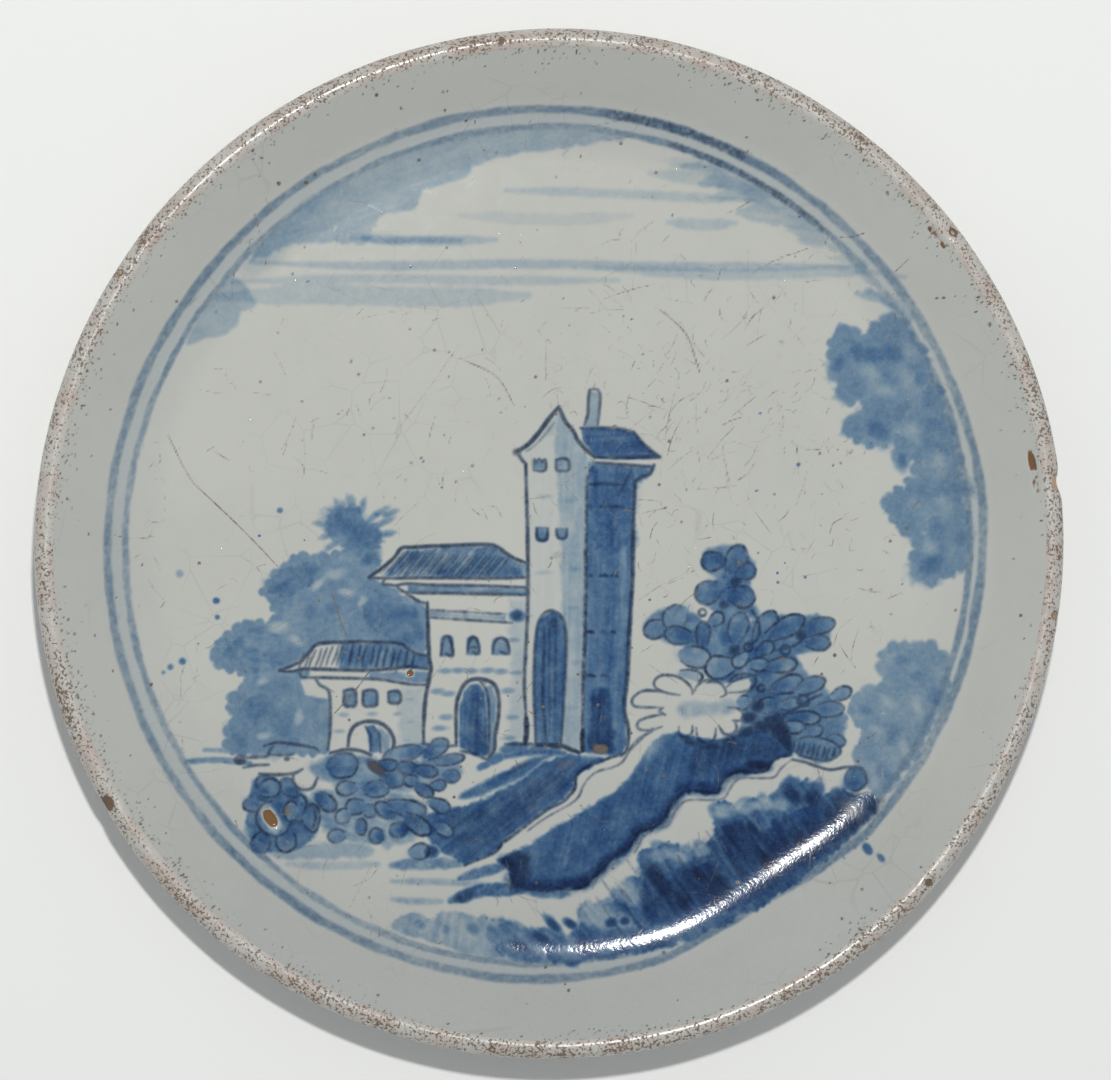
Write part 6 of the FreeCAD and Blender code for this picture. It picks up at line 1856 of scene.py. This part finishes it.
@dataclass
class Back:
    """The glazed back, the foot ring and the glazed base inside it, as the wheel left them.

    Args:
        section: the potter's section.
        throwing: how it is out of true.
        foot_inner: inside radius of the foot ring.
        foot_outer: outside radius of the foot ring.
        pins: angles of the kiln-pin scars, degrees.
        pin_place: distance of the scars from the axis.
        ripple: height of the turning ripples on the back.
        rings: height of the turning rings on the base.
    """

    section: Section
    throwing: Throwing
    foot_inner: float = 58.0
    foot_outer: float = 62.0
    pins: tuple[float, ...] = (70.0, 190.0, 310.0)
    pin_place: float = 104.0
    ripple: float = 0.05
    rings: float = 0.13

    def build(self, glaze: bpy.types.Material, clay: bpy.types.Material) -> None:
        """Turn the three pieces."""
        self.wall(glaze)
        self.foot(clay)
        self.base(glaze)

    def under(self, r: float) -> float:
        """Height of the back at a distance from the axis."""
        s = self.section
        height, _ = s.face(np.array([r]), s.thickness)
        return float(height[0])

    def wall(self, finish: bpy.types.Material) -> None:
        """The back from the lip in to the foot.

        Args:
            finish: its material.
        """
        s = self.section
        outer = s.lip_r + s.bead * math.sin(s.slope)
        foot = self.foot_outer
        stops = [*np.linspace(outer, 101.8, 20), *np.linspace(101.2, 84.5, 26)]
        stops += [*np.linspace(83.6, foot + 1.6, 26), foot + 0.9, foot + 0.35, foot]
        profile = [(r, self.under(r)) for r in stops]
        profile[-2:] = [(self.foot_outer + 0.35, self.under(64) - 0.35),
            (self.foot_outer + 0.05, self.under(64) - 1.1)]
        profile[-3] = (self.foot_outer + 0.9, self.under(64) - 0.08)
        piece = turned("glazed_back", profile, 720)
        points = points_of(piece)
        r, angle = np.hypot(points[:, 0], points[:, 1]), np.arctan2(points[:, 1], points[:, 0])
        ripple = self.ripple * np.sin(r * 1.9 + angle) * ease((r - 64) / 4) * ease((110 - r) / 4)
        wear = 0.35 * np.exp(-(((r - 63) / 2.0) ** 2))
        for pin in self.pins:
            px = self.pin_place * math.cos(math.radians(pin))
            py = self.pin_place * math.sin(math.radians(pin))
            away = np.hypot(points[:, 0] - px, points[:, 1] - py)
            wear = np.maximum(wear, ease((2.0 - away) / 0.8))
            ripple = ripple + 0.35 * ease((2.0 - away) / 1.4)
        grown = r + self.throwing.drift(r, angle)
        x, y = grown * np.cos(angle), grown * np.sin(angle)
        put_points(piece, np.stack([x, y, points[:, 2] + ripple], 1))
        record_wear(piece, wear)
        settle_piece(piece, finish, "tin_glaze", "back_glaze")

    def foot(self, finish: bpy.types.Material) -> None:
        """The foot ring, trimmed round and rubbed on its resting face.

        Args:
            finish: its material.
        """
        top = self.under(64) + 0.1
        outer, inner = self.foot_outer, self.foot_inner
        profile = [(outer, top), (outer, 1.6), (outer - 0.06, 0.9), (outer - 0.25, 0.38),
            (outer - 0.6, 0.08), (outer - 1.1, 0.0)]
        profile += [(outer - 2, 0.0), (inner + 1.1, 0.0), (inner + 0.6, 0.08), (inner + 0.25, 0.38),
            (inner + 0.06, 0.9), (inner, 1.6), (inner, top)]
        piece = turned("foot_ring_trimmed", profile, 540)
        points = points_of(piece)
        angle = np.arctan2(points[:, 1], points[:, 0])
        chips = 0.12 * np.clip(scatter(angle * 22, points[:, 2] / 2, 41), 0,
            1) * np.exp(-(((points[:, 2] - 0.3) / 0.5) ** 2))
        points[:, 2] += chips
        put_points(piece, points)
        settle_piece(piece, finish, "bare_clay", "foot_ring")

    def base(self, finish: bpy.types.Material) -> None:
        """The base inside the foot, with turning rings that close on the axis.

        Args:
            finish: its material.
        """
        level = self.under(20)
        foot = self.foot_inner
        stops = [foot - 0.05, foot - 0.35, foot - 0.9, *np.linspace(foot - 1.8, 1.0, 74), 0.45]
        profile = [(r, level) for r in stops]
        profile[:3] = [(stops[0], level - 1.1), (stops[1], level - 0.35), (stops[2], level - 0.08)]
        piece = turned("glazed_base", profile, 360)
        self.close_middle(piece)
        points = points_of(piece)
        r, angle = np.hypot(points[:, 0], points[:, 1]), np.arctan2(points[:, 1], points[:, 0])
        rings = self.rings * np.sin(r * 1.15 + angle * (r > 1)) * ease((r - 0.6) / 6) * ease((56 - r) / 4)
        points[:, 2] += rings
        put_points(piece, points)
        record_wear(piece, 0.4 * np.exp(-(((r - 57.4) / 1.6) ** 2)))
        settle_piece(piece, finish, "tin_glaze", "base_glaze")

    def close_middle(self, piece: bpy.types.Object) -> None:
        """Merge the smallest ring into one point on the axis.

        Args:
            piece: the base.
        """
        points = points_of(piece)
        near = np.hypot(points[:, 0], points[:, 1]) < 0.5
        points[near, :2] = 0
        put_points(piece, points)
        bpy.ops.object.mode_set(mode="EDIT")
        bpy.ops.mesh.select_all(action="SELECT")
        bpy.ops.mesh.remove_doubles(threshold=0.00001)
        bpy.ops.object.mode_set(mode="OBJECT")


# ---------------------------------------------------------------- the studio


@dataclass
class Studio:
    """A pale floor, soft light from above the top edge, and a camera over the plate.

    Args:
        eye: where the camera stands, mm.
        aim: what it looks at, mm.
        lens: focal length, mm.
    """

    eye: tuple[float, float, float] = (-73, 0, 1047)
    aim: tuple[float, float, float] = (0.4, 1.0, 19)
    lens: float = 153.0

    def build(self) -> None:
        """Set everything up."""
        self.floor()
        self.lamp("key", (-37, 290, 1150), 45, 8.3, 0.97)
        world = bpy.data.worlds.new("studio")
        world.use_nodes = True
        world.node_tree.nodes["Background"].inputs[0].default_value = (0.93, 0.97, 1.0, 1)
        world.node_tree.nodes["Background"].inputs[1].default_value = 0.41
        bpy.context.scene.world = world
        bpy.context.scene.view_settings.view_transform = "Standard"
        self.camera()

    def floor(self) -> None:
        """A plain pale floor that isn't part of the plate."""
        bpy.ops.object.select_all(action="DESELECT")
        bpy.ops.mesh.primitive_plane_add(size=4.0)
        sheet = only("studio_floor")
        g = Graph("studio_paper")
        pale = g.tint(g.noise(60, 2, 1), (0.86, 0.86, 0.85, 1), (0.88, 0.88, 0.87, 1))
        sheet.data.materials.append(g.finish(pale, 0.9, g.noise(2, 2, 2) * 0.01))

    def lamp(self, name: str, place: tuple[float, float, float], size: float, power: float,
            warmth: float) -> None:
        """One square lamp that faces the plate.

        Args:
            name: what it is called.
            place: where it hangs, mm.
            size: its side, mm.
            power: watts.
            warmth: share of blue in its light.
        """
        data = bpy.data.lights.new(name, "AREA")
        data.size, data.energy, data.color = size * MM, power, (1, 1, warmth)
        lamp = bpy.data.objects.new(name, data)
        bpy.context.scene.collection.objects.link(lamp)
        lamp.location = Vector(place) * MM
        lamp.rotation_euler = (-lamp.location).to_track_quat("-Z", "Y").to_euler()

    def camera(self) -> None:
        """The camera, its top edge towards the top of the picture."""
        data = bpy.data.cameras.new("camera")
        data.lens, data.sensor_width = self.lens, 36
        data.dof.use_dof = False
        camera = bpy.data.objects.new("camera", data)
        bpy.context.scene.collection.objects.link(camera)
        back = (Vector(self.eye) - Vector(self.aim)).normalized()
        side = Vector((0, 1, 0)).cross(back).normalized()
        up = back.cross(side)
        matrix = camera.matrix_world.to_3x3()
        for k, column in enumerate((side, up, back)):
            matrix.col[k] = column
        camera.matrix_world = matrix.to_4x4()
        camera.location = Vector(self.eye) * MM
        bpy.context.scene.camera = camera


def main() -> None:
    """Build the plate, dress it and light it."""
    logging.basicConfig(level=logging.INFO, format="%(name)s %(message)s", stream=sys.stdout)
    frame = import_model()
    section = Section(rim=112.5, height=9.5)
    throwing = Throwing()
    canvas = Canvas()
    Landscape(canvas).paint()
    clay = BareClay().make()
    Face(section, throwing, canvas).build(TinGlaze().make())
    Lip(section, throwing).build(WornLip().make())
    Back(section, throwing).build(BackGlaze().make(), clay)
    body = frame["nodes"]["clay_body"]
    body.data.materials.clear()
    body.data.materials.append(clay)
    Studio().build()


if __name__ == "__main__":
    main()
